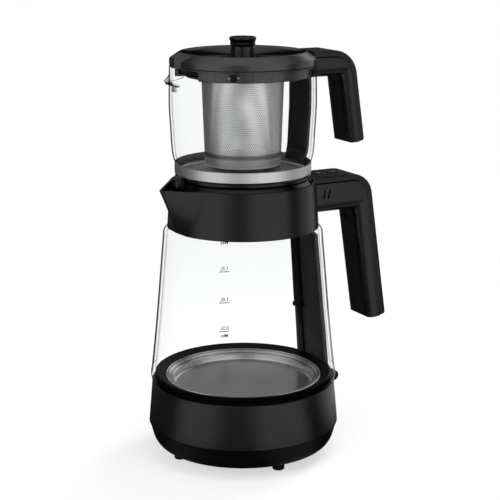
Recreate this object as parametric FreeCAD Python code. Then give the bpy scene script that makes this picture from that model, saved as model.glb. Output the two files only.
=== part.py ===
"""Automatic tea maker: cordless glass kettle, its power base, and a glass teapot stacked on top.

Frame: origin on the vertical axis at ground level, +Z up, handles along +X, spouts along -X.
All sizes in millimetres.
"""
import FreeCAD, Part
import math
import os

V = FreeCAD.Vector
AXIS = V(0, 0, 1)

# ---------------------------------------------------------------- driving sizes: clearances
GAP = 0.3            # between pieces that lift off one another
PLAY = 0.15          # between fixed pieces pushed into one another
RUN = 0.05           # radial running fit of a hinge pin
BUTTON_GAP = 0.3     # round a push button

# ---------------------------------------------------------------- driving sizes: power base
FOOT_H = 7.0         # ground to underside of the base
FOOT_R = 5.3
FOOT_INSET = 7.6     # foot's centre inside the base's lower edge
FOOT_COUNT = 4
FOOT_SINK = 1.2      # how far a foot is set into the bottom plate
BASE_H = 19.9        # underside of the base to its top face
BASE_FLARE = 13.0    # how much wider the base is at its top face than underneath
# stations of its side: how far out from the lower edge, and how high above it
BASE_CURVE = ((5.0, 1.9), (9.1, 7.5), (11.4, 15.1))
BASE_INNER_RISE = 0.7    # inner wall's lower knee above the outer one
PLATE_STEP = 1.0         # seat of the bottom plate inside the base
PLATE_STEP_W = 2.0
BASE_TOP_INSET = 0.4 # base's rim behind the edge of the housing above it
BASE_WALL = 2.5
PLATE_T = 2.5        # bottom plate
LIP_W = 2.4          # turned-in edge that carries the bottom plate
BASE_SCREW_INSET = 13.4  # screws nearer the axis than the feet
SCREW_COUNT = 3      # screws in the bottom of the base, and of the kettle
SCREW_FIRST = 60.0   # azimuth of the first of them
GLAND_AZIMUTH = 90.0
GLAND_R = 5.0
GLAND_BORE_R = 3.2
GLAND_Z = 16.5
GLAND_STANDS_OUT = 2.0
GLAND_FLANGE_W = 0.8
GLAND_FLANGE_T = 2.4
GLAND_FLANGE_BACK = 7.6   # from the outside of the wall to the flange
GLAND_CUT_IN = 19.0       # where the hole through the wall starts, inside the base's rim
GLAND_CUT_L = 30.0

# ---------------------------------------------------------------- driving sizes: cordless connector
SOCKET_R = 14.0      # raised boss of the lower half
SOCKET_H = 7.7       # boss above the base's top face
SOCKET_BODY_R = 21.6
SOCKET_FLANGE_R = 25.0
SLOT_IN_R = 7.0
SLOT_OUT_R = 10.6
SLOT_DEPTH = 10.5
PIN_R = 2.2
BLADE_IN_R = 7.6
BLADE_OUT_R = 9.4
LINER_T = 0.6

# ---------------------------------------------------------------- driving sizes: kettle foot
HOUSING_H = 38.8     # from its lower edge to the glass seam
HOUSING_BOTTOM_R = 84.4
HOUSING_TAPER = 3.4
HOUSING_WALL = 2.5
COVER_T = 2.8        # bottom cover
LEDGE_T = 2.7        # inner ledge that carries the glass and the heater pan
LEDGE_DROP = 7.4     # from the seam down to the ledge's upper face
LEDGE_UNDER_PAN = 5.2    # how far it reaches in under the pan
POST_R = 4.0
POST_INSET = 10.9        # post's centre inside the housing's lower inner edge
PAN_T = 1.2
PAN_FLOOR_RISE = 3.6     # pan floor above the ledge
PAN_FLOOR_INSET = 9.4    # floor's edge inside the pan's outer wall
SEAL_W = 5.8             # seal between the pan and the foot of the glass
PAN_GROOVE_W = 1.4
PAN_GROOVE_DEPTH = 1.2
PAN_RIM_RISE = 11.4      # pan rim above the ledge
PAN_SLOPE_W = 7.0
SPREADER_INSET = 9.8     # spreader's edge inside the pan's floor
SPREADER_T = 3.0
ELEMENT_INSET = 10.0     # element's tube inside the spreader's edge
ELEMENT_TUBE_R = 3.4
ELEMENT_FLAT = 0.8
ELEMENT_SWEEP = 300.0
ELEMENT_PIN_R = 2.0
ELEMENT_PIN_H = 9.0
CONTROL_R = 24.0
CONTROL_GAP = 3.8        # thermostat block's rim below the spreader
SEAL_RISE = 14.4         # seal's lip on the glass above the ledge

# ---------------------------------------------------------------- driving sizes: kettle glass
GLASS_WALL = 3.0
NECK_IN = 3.0        # how far the foot of the glass steps in behind the housing's edge
GLASS_TUCK = 0.4     # how far the glass draws in at the height of its seal
GLASS_BELLY = 0.7    # glass beyond the housing's top edge where it is widest
# how far the outside has drawn in from its widest place: by height above the seam, then by depth under the collar
GLASS_DRAW_LOW = ((9.0, 0.0), (35.0, 2.9), (65.0, 5.9))
GLASS_DRAW_HIGH = ((40.6, 8.8), (15.6, 11.1), (5.1, 12.0))
SHOULDER_RISE = 4.5
SHOULDER_W = 7.3         # how much narrower the neck is than the glass below it
TOP_NECK_H = 12.0

# ---------------------------------------------------------------- driving sizes: collar and spout
COLLAR_RISE = 138.6      # collar's lower edge above the seam
COLLAR_H = 39.8
COLLAR_STEP = 3.7        # outside of the collar beyond the neck of the glass
COLLAR_TAPER = 2.7
COLLAR_WALL = 2.4
SPOUT_REACH = 17.3       # tip of the spout beyond the collar's rim
SPOUT_FOOT_INSET = 1.1   # nose of the spout inside the collar's lower edge
SPOUT_BOW = 0.2          # how hollow the nose's line is
SPOUT_TOP_HALF = 30.5    # half angle that the spout takes of the collar at its rim
SPOUT_FOOT_HALF = 15.6
SPOUT_NOSE_R = 4.5
SPOUT_WALL = 2.0
SPOUT_DIP = 2.2          # how far the rim falls to the tip
SPOUT_SECTIONS = 5
THROAT_IN = 5.0          # how far the throat is cut on inside the collar's wall
THROAT_TOP = 1.05        # share of the collar's height that its cut runs up to, past the rim
RING_SEAT_DROP = 7.4     # rim down to the seat of the loose ring
SEAT_T = 2.5
SEAT_W = 4.0

# ---------------------------------------------------------------- driving sizes: loose ring under the teapot
RING_T = 2.4
RING_RISE = 2.8          # its top above the collar's rim
RING_INSET = 5.5         # its outer edge inside the collar's rim
RING_W = 7.5
TAB_REACH = 2.9          # splash tab beyond the collar's rim
TAB_HALF_W = 5.0
TAB_RISE = 8.4           # top of the splash tab above the collar's rim
TAB_ROUND = 3.6

# ---------------------------------------------------------------- driving sizes: inner bracket of the kettle
SPINE_HALF = 19.0
SPINE_T = 3.0
DUCT_AZIMUTH = 13.0
DUCT_HALF = 3.6
DUCT_T = 4.0
DUCT_BREAK_RISE = 54.0   # joint of the duct above the seam
DUCT_LOWER_HALF = 1.8
DUCT_LOWER_T = 2.4

# ---------------------------------------------------------------- driving sizes: handles (kettle, teapot)
KETTLE_GRIP_W = 38.0
KETTLE_ARM_H = 32.5
KETTLE_ARM_DROP = 1.4        # top of the arm below the collar's rim
KETTLE_REACH = 38.4          # bend of the handle beyond the collar's rim
KETTLE_BEND_R = 21.0
KETTLE_LEG_T = 18.7
KETTLE_HANDLE_H = 136.5      # top of the arm to the lowest point
TEAPOT_GRIP_W = 35.0
TEAPOT_ARM_H = 23.0
TEAPOT_ARM_DROP = 2.2        # top of that arm below the lid's crest
TEAPOT_REACH = 18.7          # bend of the handle beyond the rim of the glass
TEAPOT_BEND_R = 24.0
TEAPOT_LEG_T = 14.6
TEAPOT_HANDLE_H = 83.0
LEAN = 8.5                   # lean of both legs, degrees
SKIN = 6.0                   # outer cover of both handles
SKIN_INSET = 0.4             # cover is this much narrower on each side
GRIP_ROUND = 10.0
TIP_ROUND = 2.5              # at the lower end of the leg
SKIN_ROUND = 1.6
COVER_SCREW_DOWN = 8.0
COVER_SCREW_SINK = 0.6
COVER_BITE = 3.5             # how far that screw reaches into the cover

# ---------------------------------------------------------------- driving sizes: control panel and buttons
PANEL_SET_BACK = 2.6     # panel's start beyond the collar's rim
PANEL_L = 36.0
PANEL_W = 31.0
PANEL_T = 1.8
PANEL_PROUD = 0.4
PANEL_ROUND = 6.0
POCKET_MARGIN = 2.5
POCKET_DEPTH = 7.0
BOARD_T = 1.6
BUTTON_PITCH = 16.0
BUTTON_R = 6.5
BUTTON_PROUD = 0.5
BUTTON_FLANGE_R = 7.3
BUTTON_FLANGE_T = 0.8
BUTTON_TRAVEL = 1.0
SWITCH_R = 3.0
SWITCH_H = 0.8
STEM_R = 2.0
LENS_R = 1.9
LENS_T = 1.1
VENT_FIRST = 8.0         # first vent from the panel's start
VENT_PITCH = 5.0
VENT_W = 1.5
VENT_H = 8.0
VENT_DEPTH = 3.0
VENT_LEAN = 12.0
VENT_DROP = 15.5

# ---------------------------------------------------------------- driving sizes: power lever
LEVER_PIN_INSET = 9.2        # pin inside the housing's lower edge
LEVER_PIN_DROP = 15.5        # pin below the seam
LEVER_PIN_R = 1.5
LEVER_BOSS_R = 3.0
LEVER_W = 16.0
LEVER_REACH = 11.6           # paddle's tip beyond the housing's lower edge
LEVER_H = 9.4
LEVER_RISE = 3.5             # middle of the paddle above the pin
LEVER_EAR_T = 2.5
LEVER_SLOT_BELOW = 4.0       # room under the paddle for its travel

# ---------------------------------------------------------------- driving sizes: teapot
POT_RAISE = 3.1              # foot ring of the pot above the collar's rim
FOOT_RING_OVER = 0.6         # foot ring wider than the loose ring under it
FOOT_RING_H = 4.9
SKIRT_DROP = 6.0
SKIRT_T = 1.8
BAND_PROUD = 0.6             # band beyond the foot ring
BAND_T = 0.9
BAND_H = 8.8
POT_WALL = 2.4
POT_FLOOR_T = 3.0
# height above the foot of the glass, how far the outside lies beyond the band
POT_SWELL = ((10.0, 0.1), (14.0, 1.4), (19.0, 2.2), (36.0, 3.2), (53.0, 4.2), (70.0, 4.2), (91.1, 3.7))
LIP_REACH = 9.2              # lip's outer end beyond the rim
LIP_HALF_W = 21.0            # half the lip's width where it leaves the wall
LIP_TIP_HALF_W = 5.5
LIP_FOOT_DROP = 17.0         # lip's root below the rim
LIP_TIP_DROP = 12.0          # lip's outer end, lowest point below the rim
LIP_SAG = 9.0                # how far the pouring edge falls to the tip
LIP_SAG_AT_WALL = 4.95       # how far it has fallen where the lip leaves the wall
LIP_SIDE_RISE = 1.0          # straight sides at the tip, up to the pouring edge
LIP_HOLLOW_INSET = 1.92      # wall of the lip
BRACKET_HALF = 17.0
BRACKET_T = 2.0
BRACKET_FOOT = 6.0

# ---------------------------------------------------------------- driving sizes: strainer
STRAINER_INSET = 4.9         # strainer's collar inside the rim of the glass
STRAINER_WALL = 3.0
STRAINER_H = 9.5
FLANGE_INSET = 0.6           # its flange inside that rim
STRAINER_FLANGE_T = 0.7
WEB_T = 1.6
WEB_W = 22.3                 # collar's outside to the mouth of the basket
BASKET_TAPER = 2.8
BASKET_WALL = 0.8
BASKET_H = 78.0
BASKET_LIP_W = 3.0
POUR_HALF = 22.0
CLIP_AZIMUTH = 54.0
CLIP_HALF = 15.7
CLIP_CUT = 0.6
NOTCH_W = 5.2
PEG_R = 0.8
PEG_OFFSET = 4.0

# ---------------------------------------------------------------- driving sizes: lid and knob
LID_INSET = 0.2              # lid's edge inside the rim of the glass
LID_RIM_H = 5.8
LID_BEVEL_W = 9.1            # edge to the crest
LID_CREST_RISE = 5.2
LID_CREST_W = 7.5            # crest to the dish
LID_DISH_DROP = 3.4
LID_T = 2.4
PLUG_INSET = 4.3             # plug inside the outside of the strainer's collar
PLUG_T = 1.8
PLUG_H = 5.5
BEAK_REACH = 3.7             # beak beyond the lid's edge
BEAK_HALF_W = 12.8
BEAK_TIP_HALF_W = 5.0
BEAK_TIP_DROP = 2.2          # top of the beak's tip below the lid's crest
BEAK_ROUND = 0.8
KNOB_STEM_R = 10.6
KNOB_NECK_R = 10.2
KNOB_HEAD_R = 11.6
KNOB_STEM_H = 10.0
KNOB_HEAD_H = 5.5

# ---------------------------------------------------------------- driving sizes: screws
SCREW_R = 1.5
SCREW_HEAD_R = 2.9
SCREW_HEAD_H = 1.8
SCREW_LENGTH = 9.0
RECESS_R = 1.7
RECESS_W = 0.7
RECESS_DEPTH = 1.0

# ---------------------------------------------------------------- radii that follow from them
HOUSING_TOP_R = HOUSING_BOTTOM_R - HOUSING_TAPER
BASE_TOP_R = HOUSING_BOTTOM_R - BASE_TOP_INSET
BASE_BOTTOM_R = BASE_TOP_R - BASE_FLARE
FOOT_PITCH_R = BASE_BOTTOM_R - FOOT_INSET
BASE_SCREW_PITCH_R = FOOT_PITCH_R - BASE_SCREW_INSET
GLASS_FOOT_R = HOUSING_TOP_R - NECK_IN
PAN_R = GLASS_FOOT_R - GLASS_WALL - SEAL_W
PAN_FLOOR_R = PAN_R - PAN_FLOOR_INSET
SPREADER_R = PAN_FLOOR_R - SPREADER_INSET
ELEMENT_RING_R = SPREADER_R - ELEMENT_INSET
LEDGE_IN_R = PAN_R - LEDGE_UNDER_PAN
POST_PITCH_R = HOUSING_BOTTOM_R - HOUSING_WALL - POST_INSET
LEVER_PIN_X = HOUSING_BOTTOM_R - LEVER_PIN_INSET
LEVER_TIP_X = HOUSING_BOTTOM_R + LEVER_REACH
GLASS_DRAW = GLASS_DRAW_LOW + tuple((COLLAR_RISE - drop, inward) for drop, inward in GLASS_DRAW_HIGH)
GLASS_OUTLINE = [(h, HOUSING_TOP_R + GLASS_BELLY - inward) for h, inward in GLASS_DRAW]
TOP_NECK_R = GLASS_OUTLINE[-1][1] - SHOULDER_W
COLLAR_BOTTOM_R = TOP_NECK_R + COLLAR_STEP
COLLAR_TOP_R = COLLAR_BOTTOM_R - COLLAR_TAPER
SPOUT_TIP_R = COLLAR_TOP_R + SPOUT_REACH
SPOUT_FOOT_R = COLLAR_BOTTOM_R - SPOUT_FOOT_INSET
RING_TOP_R = COLLAR_TOP_R - RING_INSET
RING_BORE_R = RING_TOP_R - RING_W
TAB_R = COLLAR_TOP_R + TAB_REACH
KETTLE_BEND_X = COLLAR_TOP_R + KETTLE_REACH
PANEL_X0 = COLLAR_TOP_R + PANEL_SET_BACK
PANEL_X1 = PANEL_X0 + PANEL_L
BUTTON_X = tuple(PANEL_X0 + (PANEL_L + side * BUTTON_PITCH) / 2 for side in (-1, 1))
VENT_X = PANEL_X0 + VENT_FIRST
FOOT_RING_R = RING_TOP_R + FOOT_RING_OVER
BAND_R = FOOT_RING_R + BAND_PROUD
POT_OUTLINE = [(h, BAND_R + beyond) for h, beyond in POT_SWELL]
POT_RIM_R = POT_OUTLINE[-1][1]
LIP_TIP_R = POT_RIM_R + LIP_REACH
TEAPOT_BEND_X = POT_RIM_R + TEAPOT_REACH
STRAINER_R = POT_RIM_R - STRAINER_INSET
STRAINER_FLANGE_R = POT_RIM_R - FLANGE_INSET
BASKET_TOP_R = STRAINER_R - WEB_W
BASKET_BOTTOM_R = BASKET_TOP_R - BASKET_TAPER
PLUG_R = STRAINER_R - PLUG_INSET
LID_R = POT_RIM_R - LID_INSET
LID_CREST_R = LID_R - LID_BEVEL_W
LID_DISH_R = LID_CREST_R - LID_CREST_W
BEAK_TIP_R = LID_R + BEAK_REACH

# ---------------------------------------------------------------- heights that follow from them
BASE_BOTTOM = FOOT_H
BASE_TOP = BASE_BOTTOM + BASE_H
HOUSING_BOTTOM = BASE_TOP + GAP
SEAM = HOUSING_BOTTOM + HOUSING_H
LEDGE_TOP = SEAM - LEDGE_DROP
LEDGE_BOTTOM = LEDGE_TOP - LEDGE_T
PAN_FLOOR = LEDGE_TOP + PAN_FLOOR_RISE
COLLAR_BOTTOM = SEAM + COLLAR_RISE
COLLAR_TOP = COLLAR_BOTTOM + COLLAR_H
RING_SEAT = COLLAR_TOP - RING_SEAT_DROP
POT_FOOT = COLLAR_TOP + POT_RAISE
BAND_BOTTOM = POT_FOOT + FOOT_RING_H
POT_GLASS_BOTTOM = BAND_BOTTOM
POT_RIM = POT_GLASS_BOTTOM + POT_OUTLINE[-1][0]
FLANGE_BOTTOM = POT_RIM + GAP
FLANGE_TOP = FLANGE_BOTTOM + STRAINER_FLANGE_T
WEB_BOTTOM = FLANGE_TOP - STRAINER_H
LID_BOTTOM = FLANGE_TOP + GAP
LID_CREST = LID_BOTTOM + LID_RIM_H + LID_CREST_RISE
LID_DISH = LID_CREST - LID_DISH_DROP
KETTLE_ARM_TOP = COLLAR_TOP - KETTLE_ARM_DROP
TEAPOT_ARM_TOP = LID_CREST - TEAPOT_ARM_DROP
LEVER_PIN_Z = SEAM - LEVER_PIN_DROP

NODES = {}


# ================================================================ helpers
def edges_through(steps, closed=True):
    """Edges through steps: (a, b) is a straight run; ((a, b), (a, b)) an arc by its middle and end."""
    points = [V(steps[0][0], 0, steps[0][1])]
    edges = []
    for step in list(steps[1:]) + ([steps[0]] if closed else []):
        if isinstance(step, Part.Edge):
            edges.append(step)
            points.append(step.Vertexes[-1].Point)
        elif isinstance(step[0], tuple):
            middle = V(step[0][0], 0, step[0][1])
            end = V(step[1][0], 0, step[1][1])
            edges.append(Part.Arc(points[-1], middle, end).toShape())
            points.append(end)
        else:
            end = V(step[0], 0, step[1])
            if end.distanceToPoint(points[-1]) > 1e-6:
                edges.append(Part.LineSegment(points[-1], end).toShape())
                points.append(end)
    return edges


def face_xz(*steps):
    return Part.Face(Part.Wire(edges_through(steps)))


def curve_xz(points):
    """Smooth edge through (radius, height) points."""
    curve = Part.BSplineCurve()
    curve.interpolate([V(r, 0, z) for r, z in points])
    return curve.toShape()


def revolved(*steps):
    return face_xz(*steps).revolve(V(0, 0, 0), AXIS, 360)


def pipe(r_in, r_out, z0, z1):
    outer = Part.makeCylinder(r_out, z1 - z0, V(0, 0, z0))
    if r_in <= 0:
        return outer
    return outer.cut(Part.makeCylinder(r_in, z1 - z0, V(0, 0, z0)))


def wedge(azimuth, half, reach, z0, z1):
    """Upright sector of a disc, used to keep or cut a stretch of a ring."""
    profile = Part.Face(Part.makePolygon([V(0, 0, z0), V(reach, 0, z0), V(reach, 0, z1), V(0, 0, z1), V(0, 0, z0)]))
    solid = profile.revolve(V(0, 0, 0), AXIS, 2 * half)
    return turned(solid, azimuth - half)


def turned(shape, degrees):
    copy = shape.copy()
    copy.rotate(V(0, 0, 0), AXIS, degrees)
    return copy


def around(shape, count, first=0.0):
    return [turned(shape, first + 360.0 * i / count) for i in range(count)]


def fused(shapes):
    result = shapes[0]
    for shape in shapes[1:]:
        result = result.fuse(shape)
    return result.removeSplitter()


def prism_y(face, half_width):
    """Solid from a face in the XZ plane, symmetric about the handle plane."""
    moved = face.copy()
    moved.translate(V(0, -half_width, 0))
    return moved.extrude(V(0, 2 * half_width, 0))


def plate_xy(points, z0, z1):
    corners = [V(x, y, z0) for x, y in points]
    return Part.Face(Part.makePolygon(corners + corners[:1])).extrude(V(0, 0, z1 - z0))


def rounded_plate(x0, x1, width, z0, z1, radius):
    box = Part.makeBox(x1 - x0, width, z1 - z0, V(x0, -width / 2, z0))
    upright = [e for e in box.Edges if e.Vertexes[0].Point.sub(e.Vertexes[1].Point).cross(AXIS).Length < 1e-6]
    return box.makeFillet(radius, upright)


def cone_r(z, z0, r0, z1, r1):
    return r0 + (r1 - r0) * (z - z0) / (z1 - z0)


def along(outline, height):
    """Radius of an outline of (height, radius) stations at a height, by straight runs."""
    for (h0, r0), (h1, r1) in zip(outline, outline[1:]):
        if height <= h1:
            return r0 + (r1 - r0) * (height - h0) / (h1 - h0)
    return outline[-1][1]


def screw(length=SCREW_LENGTH):
    """Screw standing on its tip, head up: head top at z = 0, shank below."""
    head = revolved((0, 0), (SCREW_HEAD_R - 0.6, 0), (SCREW_HEAD_R, -0.6), (SCREW_HEAD_R, -SCREW_HEAD_H),
                    (SCREW_R, -SCREW_HEAD_H), (SCREW_R, -length + SCREW_R), (0, -length))
    for angle in (0, 90):
        slot = Part.makeBox(2 * RECESS_R, RECESS_W, RECESS_DEPTH, V(-RECESS_R, -RECESS_W / 2, -RECESS_DEPTH))
        head = head.cut(turned(slot, angle))
    return head


def screw_hole(length=SCREW_LENGTH, above=0.0):
    """Room for a screw: close round the shank, PLAY round the head, open above it."""
    shank = Part.makeCylinder(SCREW_R, length, V(0, 0, -length))
    head = Part.makeCylinder(SCREW_HEAD_R + PLAY, SCREW_HEAD_H + above, V(0, 0, -SCREW_HEAD_H))
    return shank.fuse(head)


def placed(shape, position, direction):
    """Move a shape made along +Z so that +Z points along direction and its origin lies at position."""
    copy = shape.copy()
    copy.Placement = FreeCAD.Placement(position, FreeCAD.Rotation(AXIS, direction)).multiply(copy.Placement)
    return copy


def keep(name, shape):
    NODES[name] = shape


# ================================================================ power base
def base_outline():
    """Outer side of the base: small corner, then a bowl that steepens to the rim."""
    stations = [(BASE_BOTTOM_R + out, BASE_BOTTOM + up) for out, up in BASE_CURVE]
    return curve_xz([(BASE_BOTTOM_R, BASE_BOTTOM)] + stations + [(BASE_TOP_R, BASE_TOP)])


def wall_r(z):
    """Outer radius of the base at a height, read off its outline."""
    level = Part.LineSegment(V(0, 0, z), V(2 * BASE_TOP_R, 0, z)).toShape()
    return base_outline().distToShape(level)[1][0][0].x


def make_base():
    under = BASE_TOP - BASE_WALL
    side = base_outline()
    inner_r = BASE_BOTTOM_R - LIP_W
    inner_foot = BASE_BOTTOM_R - BASE_WALL
    seat = BASE_BOTTOM + PLATE_T + PLATE_STEP
    low, high = BASE_CURVE[1:]
    skin = revolved((inner_r, BASE_BOTTOM), (BASE_BOTTOM_R, BASE_BOTTOM), side,
                    (SOCKET_BODY_R + PLAY, BASE_TOP), (SOCKET_BODY_R + PLAY, under),
                    (BASE_TOP_R - BASE_WALL, under), (inner_foot + high[0], BASE_BOTTOM + high[1]),
                    (inner_foot + low[0], BASE_BOTTOM + low[1] + BASE_INNER_RISE),
                    (BASE_BOTTOM_R + PLATE_STEP_W, seat), (inner_r, seat))
    drill = Part.makeCylinder(GLAND_R, GLAND_CUT_L, V(0, 0, BASE_TOP_R - GLAND_CUT_IN))
    hole = placed(drill, V(0, 0, GLAND_Z), V(1, 0, 0))
    skin = skin.cut(turned(hole, GLAND_AZIMUTH))
    boss = pipe(0, POST_R, BASE_BOTTOM + PLATE_T, under)
    boss.translate(V(BASE_SCREW_PITCH_R, 0, 0))
    bosses = around(boss, SCREW_COUNT, SCREW_FIRST)
    hole_up = placed(screw_hole(), V(BASE_SCREW_PITCH_R, 0, BASE_BOTTOM), V(0, 0, -1))
    holes = around(hole_up, SCREW_COUNT, SCREW_FIRST)
    shell = fused([skin] + bosses)
    plate = pipe(0, inner_r - PLAY, BASE_BOTTOM, BASE_BOTTOM + PLATE_T)
    for hole in holes:
        shell = shell.cut(hole)
        plate = plate.cut(hole)
    feet = []
    foot = revolved((0, 0), (FOOT_R - 1.2, 0), ((FOOT_R - 0.35, 0.35), (FOOT_R, 1.2)), (FOOT_R, FOOT_H),
                    (FOOT_R - 1.0, FOOT_H), (FOOT_R - 1.0, FOOT_H + FOOT_SINK), (0, FOOT_H + FOOT_SINK))
    foot.translate(V(FOOT_PITCH_R, 0, 0))
    socket = Part.makeCylinder(FOOT_R - 1.0, FOOT_SINK, V(FOOT_PITCH_R, 0, BASE_BOTTOM))
    for place, pocket in zip(around(foot, FOOT_COUNT), around(socket, FOOT_COUNT)):
        feet.append(place)
        plate = plate.cut(pocket)
    keep("base_shell", shell)
    keep("base_plate", plate)
    for index, place in enumerate(feet):
        keep("foot_%d" % (index + 1), place)
    screw_up = placed(screw(), V(BASE_SCREW_PITCH_R, 0, BASE_BOTTOM), V(0, 0, -1))
    screws = around(screw_up, SCREW_COUNT, SCREW_FIRST)
    keep("base_screws", Part.makeCompound(screws))


def make_gland():
    """Bushing for the cord, set through the wall of the base."""
    outer = wall_r(GLAND_Z)
    tip = outer + GLAND_STANDS_OUT
    seat = outer - GLAND_FLANGE_BACK
    back = seat - GLAND_FLANGE_T
    wide = GLAND_R + GLAND_FLANGE_W
    body = revolved((GLAND_BORE_R, back), (wide, back), (wide, seat), (GLAND_R, seat), (GLAND_R, tip - 0.6),
                    (GLAND_R - 0.6, tip), (GLAND_BORE_R + 0.6, tip), (GLAND_BORE_R, tip - 0.6))
    keep("cord_gland", turned(placed(body, V(0, 0, GLAND_Z), V(1, 0, 0)), GLAND_AZIMUTH))


def make_connector():
    under = BASE_TOP - BASE_WALL
    boss_top = BASE_TOP + SOCKET_H
    slot_floor = boss_top - SLOT_DEPTH
    flange_bottom = under - BASE_WALL
    pin_hole = PIN_R + GAP + LINER_T
    lower = revolved((pin_hole, boss_top - 0.8), (pin_hole + 0.8, boss_top), (SLOT_IN_R, boss_top),
                     (SLOT_IN_R, slot_floor), (SLOT_OUT_R, slot_floor), (SLOT_OUT_R, boss_top),
                     (SOCKET_R - 0.8, boss_top), (SOCKET_R, boss_top - 0.8), (SOCKET_R, BASE_TOP),
                     (SOCKET_BODY_R, BASE_TOP), (SOCKET_BODY_R, under), (SOCKET_FLANGE_R, under),
                     (SOCKET_FLANGE_R, flange_bottom), (pin_hole, flange_bottom))
    liners = [pipe(pin_hole - LINER_T, pin_hole, slot_floor, boss_top - 1.5),
              pipe(SLOT_OUT_R - LINER_T, SLOT_OUT_R, slot_floor, boss_top - 1.5)]
    keep("base_connector", lower)
    keep("base_contacts", Part.makeCompound(liners))
    recess_top = boss_top + GAP + 0.3
    recess_r = SOCKET_R + 2 * GAP
    blade_foot = slot_floor + 1.2
    body_r = SOCKET_BODY_R - 0.7
    cover_top = HOUSING_BOTTOM + COVER_T
    top = cover_top + 8.2
    upper = revolved((0, blade_foot), (PIN_R - 0.6, blade_foot), (PIN_R, blade_foot + 0.6), (PIN_R, recess_top),
                     (BLADE_IN_R, recess_top), (BLADE_IN_R, blade_foot), (BLADE_OUT_R, blade_foot),
                     (BLADE_OUT_R, recess_top), (recess_r, recess_top), (recess_r, HOUSING_BOTTOM),
                     (body_r, HOUSING_BOTTOM), (body_r, cover_top), (SOCKET_FLANGE_R, cover_top),
                     (SOCKET_FLANGE_R, cover_top + 2.2), (body_r, cover_top + 2.2), (body_r, top), (0, top))
    keep("kettle_connector", upper)
    contact_top = PAN_FLOOR - PAN_T - SPREADER_T
    control_top = contact_top - CONTROL_GAP
    control = revolved((0, top), (CONTROL_R - 3, top), (CONTROL_R, top + 3), (CONTROL_R, control_top),
                       (9.0, control_top), (9.0, contact_top), (0, contact_top))
    for angle in (0, 120, 240):
        window = Part.makeBox(8, 14, 5, V(CONTROL_R - 5, -7, top + 6))
        control = control.cut(turned(window, angle + 30))
    keep("thermostat_control", control)
    return body_r


# ================================================================ kettle foot
def housing_r(z):
    return cone_r(z, HOUSING_BOTTOM, HOUSING_BOTTOM_R, SEAM, HOUSING_TOP_R)


def make_housing(connector_r):
    edge = 0.5
    neck_r = GLASS_FOOT_R
    inside = HOUSING_BOTTOM_R - HOUSING_WALL
    shell = revolved((inside, HOUSING_BOTTOM), (HOUSING_BOTTOM_R - edge, HOUSING_BOTTOM),
                     (housing_r(HOUSING_BOTTOM + edge), HOUSING_BOTTOM + edge), (housing_r(SEAM - edge), SEAM - edge),
                     (HOUSING_TOP_R - edge, SEAM), (neck_r + PLAY, SEAM), (neck_r + PLAY, LEDGE_TOP),
                     (LEDGE_IN_R, LEDGE_TOP), (LEDGE_IN_R, LEDGE_BOTTOM),
                     (housing_r(LEDGE_BOTTOM) - HOUSING_WALL, LEDGE_BOTTOM))
    cover_top = HOUSING_BOTTOM + COVER_T
    post = Part.makeCylinder(POST_R, LEDGE_BOTTOM - cover_top, V(POST_PITCH_R, 0, cover_top))
    slot_top = LEVER_PIN_Z + LEVER_RISE + LEVER_H / 2 + 0.7
    slot_bottom = LEVER_PIN_Z + LEVER_RISE - LEVER_H / 2 - LEVER_SLOT_BELOW
    ears = []
    for side in (-1, 1):
        near = LEVER_W / 2 + GAP
        y0 = near if side > 0 else -near - LEVER_EAR_T
        ear = Part.makeBox(14, LEVER_EAR_T, 2 * POST_R, V(LEVER_PIN_X - POST_R, y0, LEVER_PIN_Z - POST_R))
        ears.append(ear.common(Part.makeCylinder(inside - 1.0, SEAM)))
    whole = fused([shell] + around(post, SCREW_COUNT, SCREW_FIRST) + ears)
    slot = Part.makeBox(20, LEVER_W + 2 * GAP, slot_top - slot_bottom,
                        V(neck_r + PLAY, -LEVER_W / 2 - GAP, slot_bottom))
    whole = whole.cut(slot)
    pin = Part.makeCylinder(LEVER_PIN_R, LEVER_W + 2 * GAP + 2 * LEVER_EAR_T,
                            V(LEVER_PIN_X, -LEVER_W / 2 - GAP - LEVER_EAR_T, LEVER_PIN_Z), V(0, 1, 0))
    whole = whole.cut(pin)
    hole = placed(screw_hole(), V(POST_PITCH_R, 0, HOUSING_BOTTOM), V(0, 0, -1))
    cover = pipe(connector_r + PLAY, inside - PLAY, HOUSING_BOTTOM, cover_top)
    cover = cover.common(revolved((0, HOUSING_BOTTOM), (inside - PLAY, HOUSING_BOTTOM),
                                  (housing_r(cover_top) - HOUSING_WALL - PLAY, cover_top), (0, cover_top)))
    for place in around(hole, SCREW_COUNT, SCREW_FIRST):
        whole = whole.cut(place)
        cover = cover.cut(place)
    keep("kettle_housing", whole)
    keep("bottom_cover", cover)
    screw_up = placed(screw(), V(POST_PITCH_R, 0, HOUSING_BOTTOM), V(0, 0, -1))
    keep("bottom_screws", Part.makeCompound(around(screw_up, SCREW_COUNT, SCREW_FIRST)))
    keep("lever_pin", pin)
    make_lever(neck_r)


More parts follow.
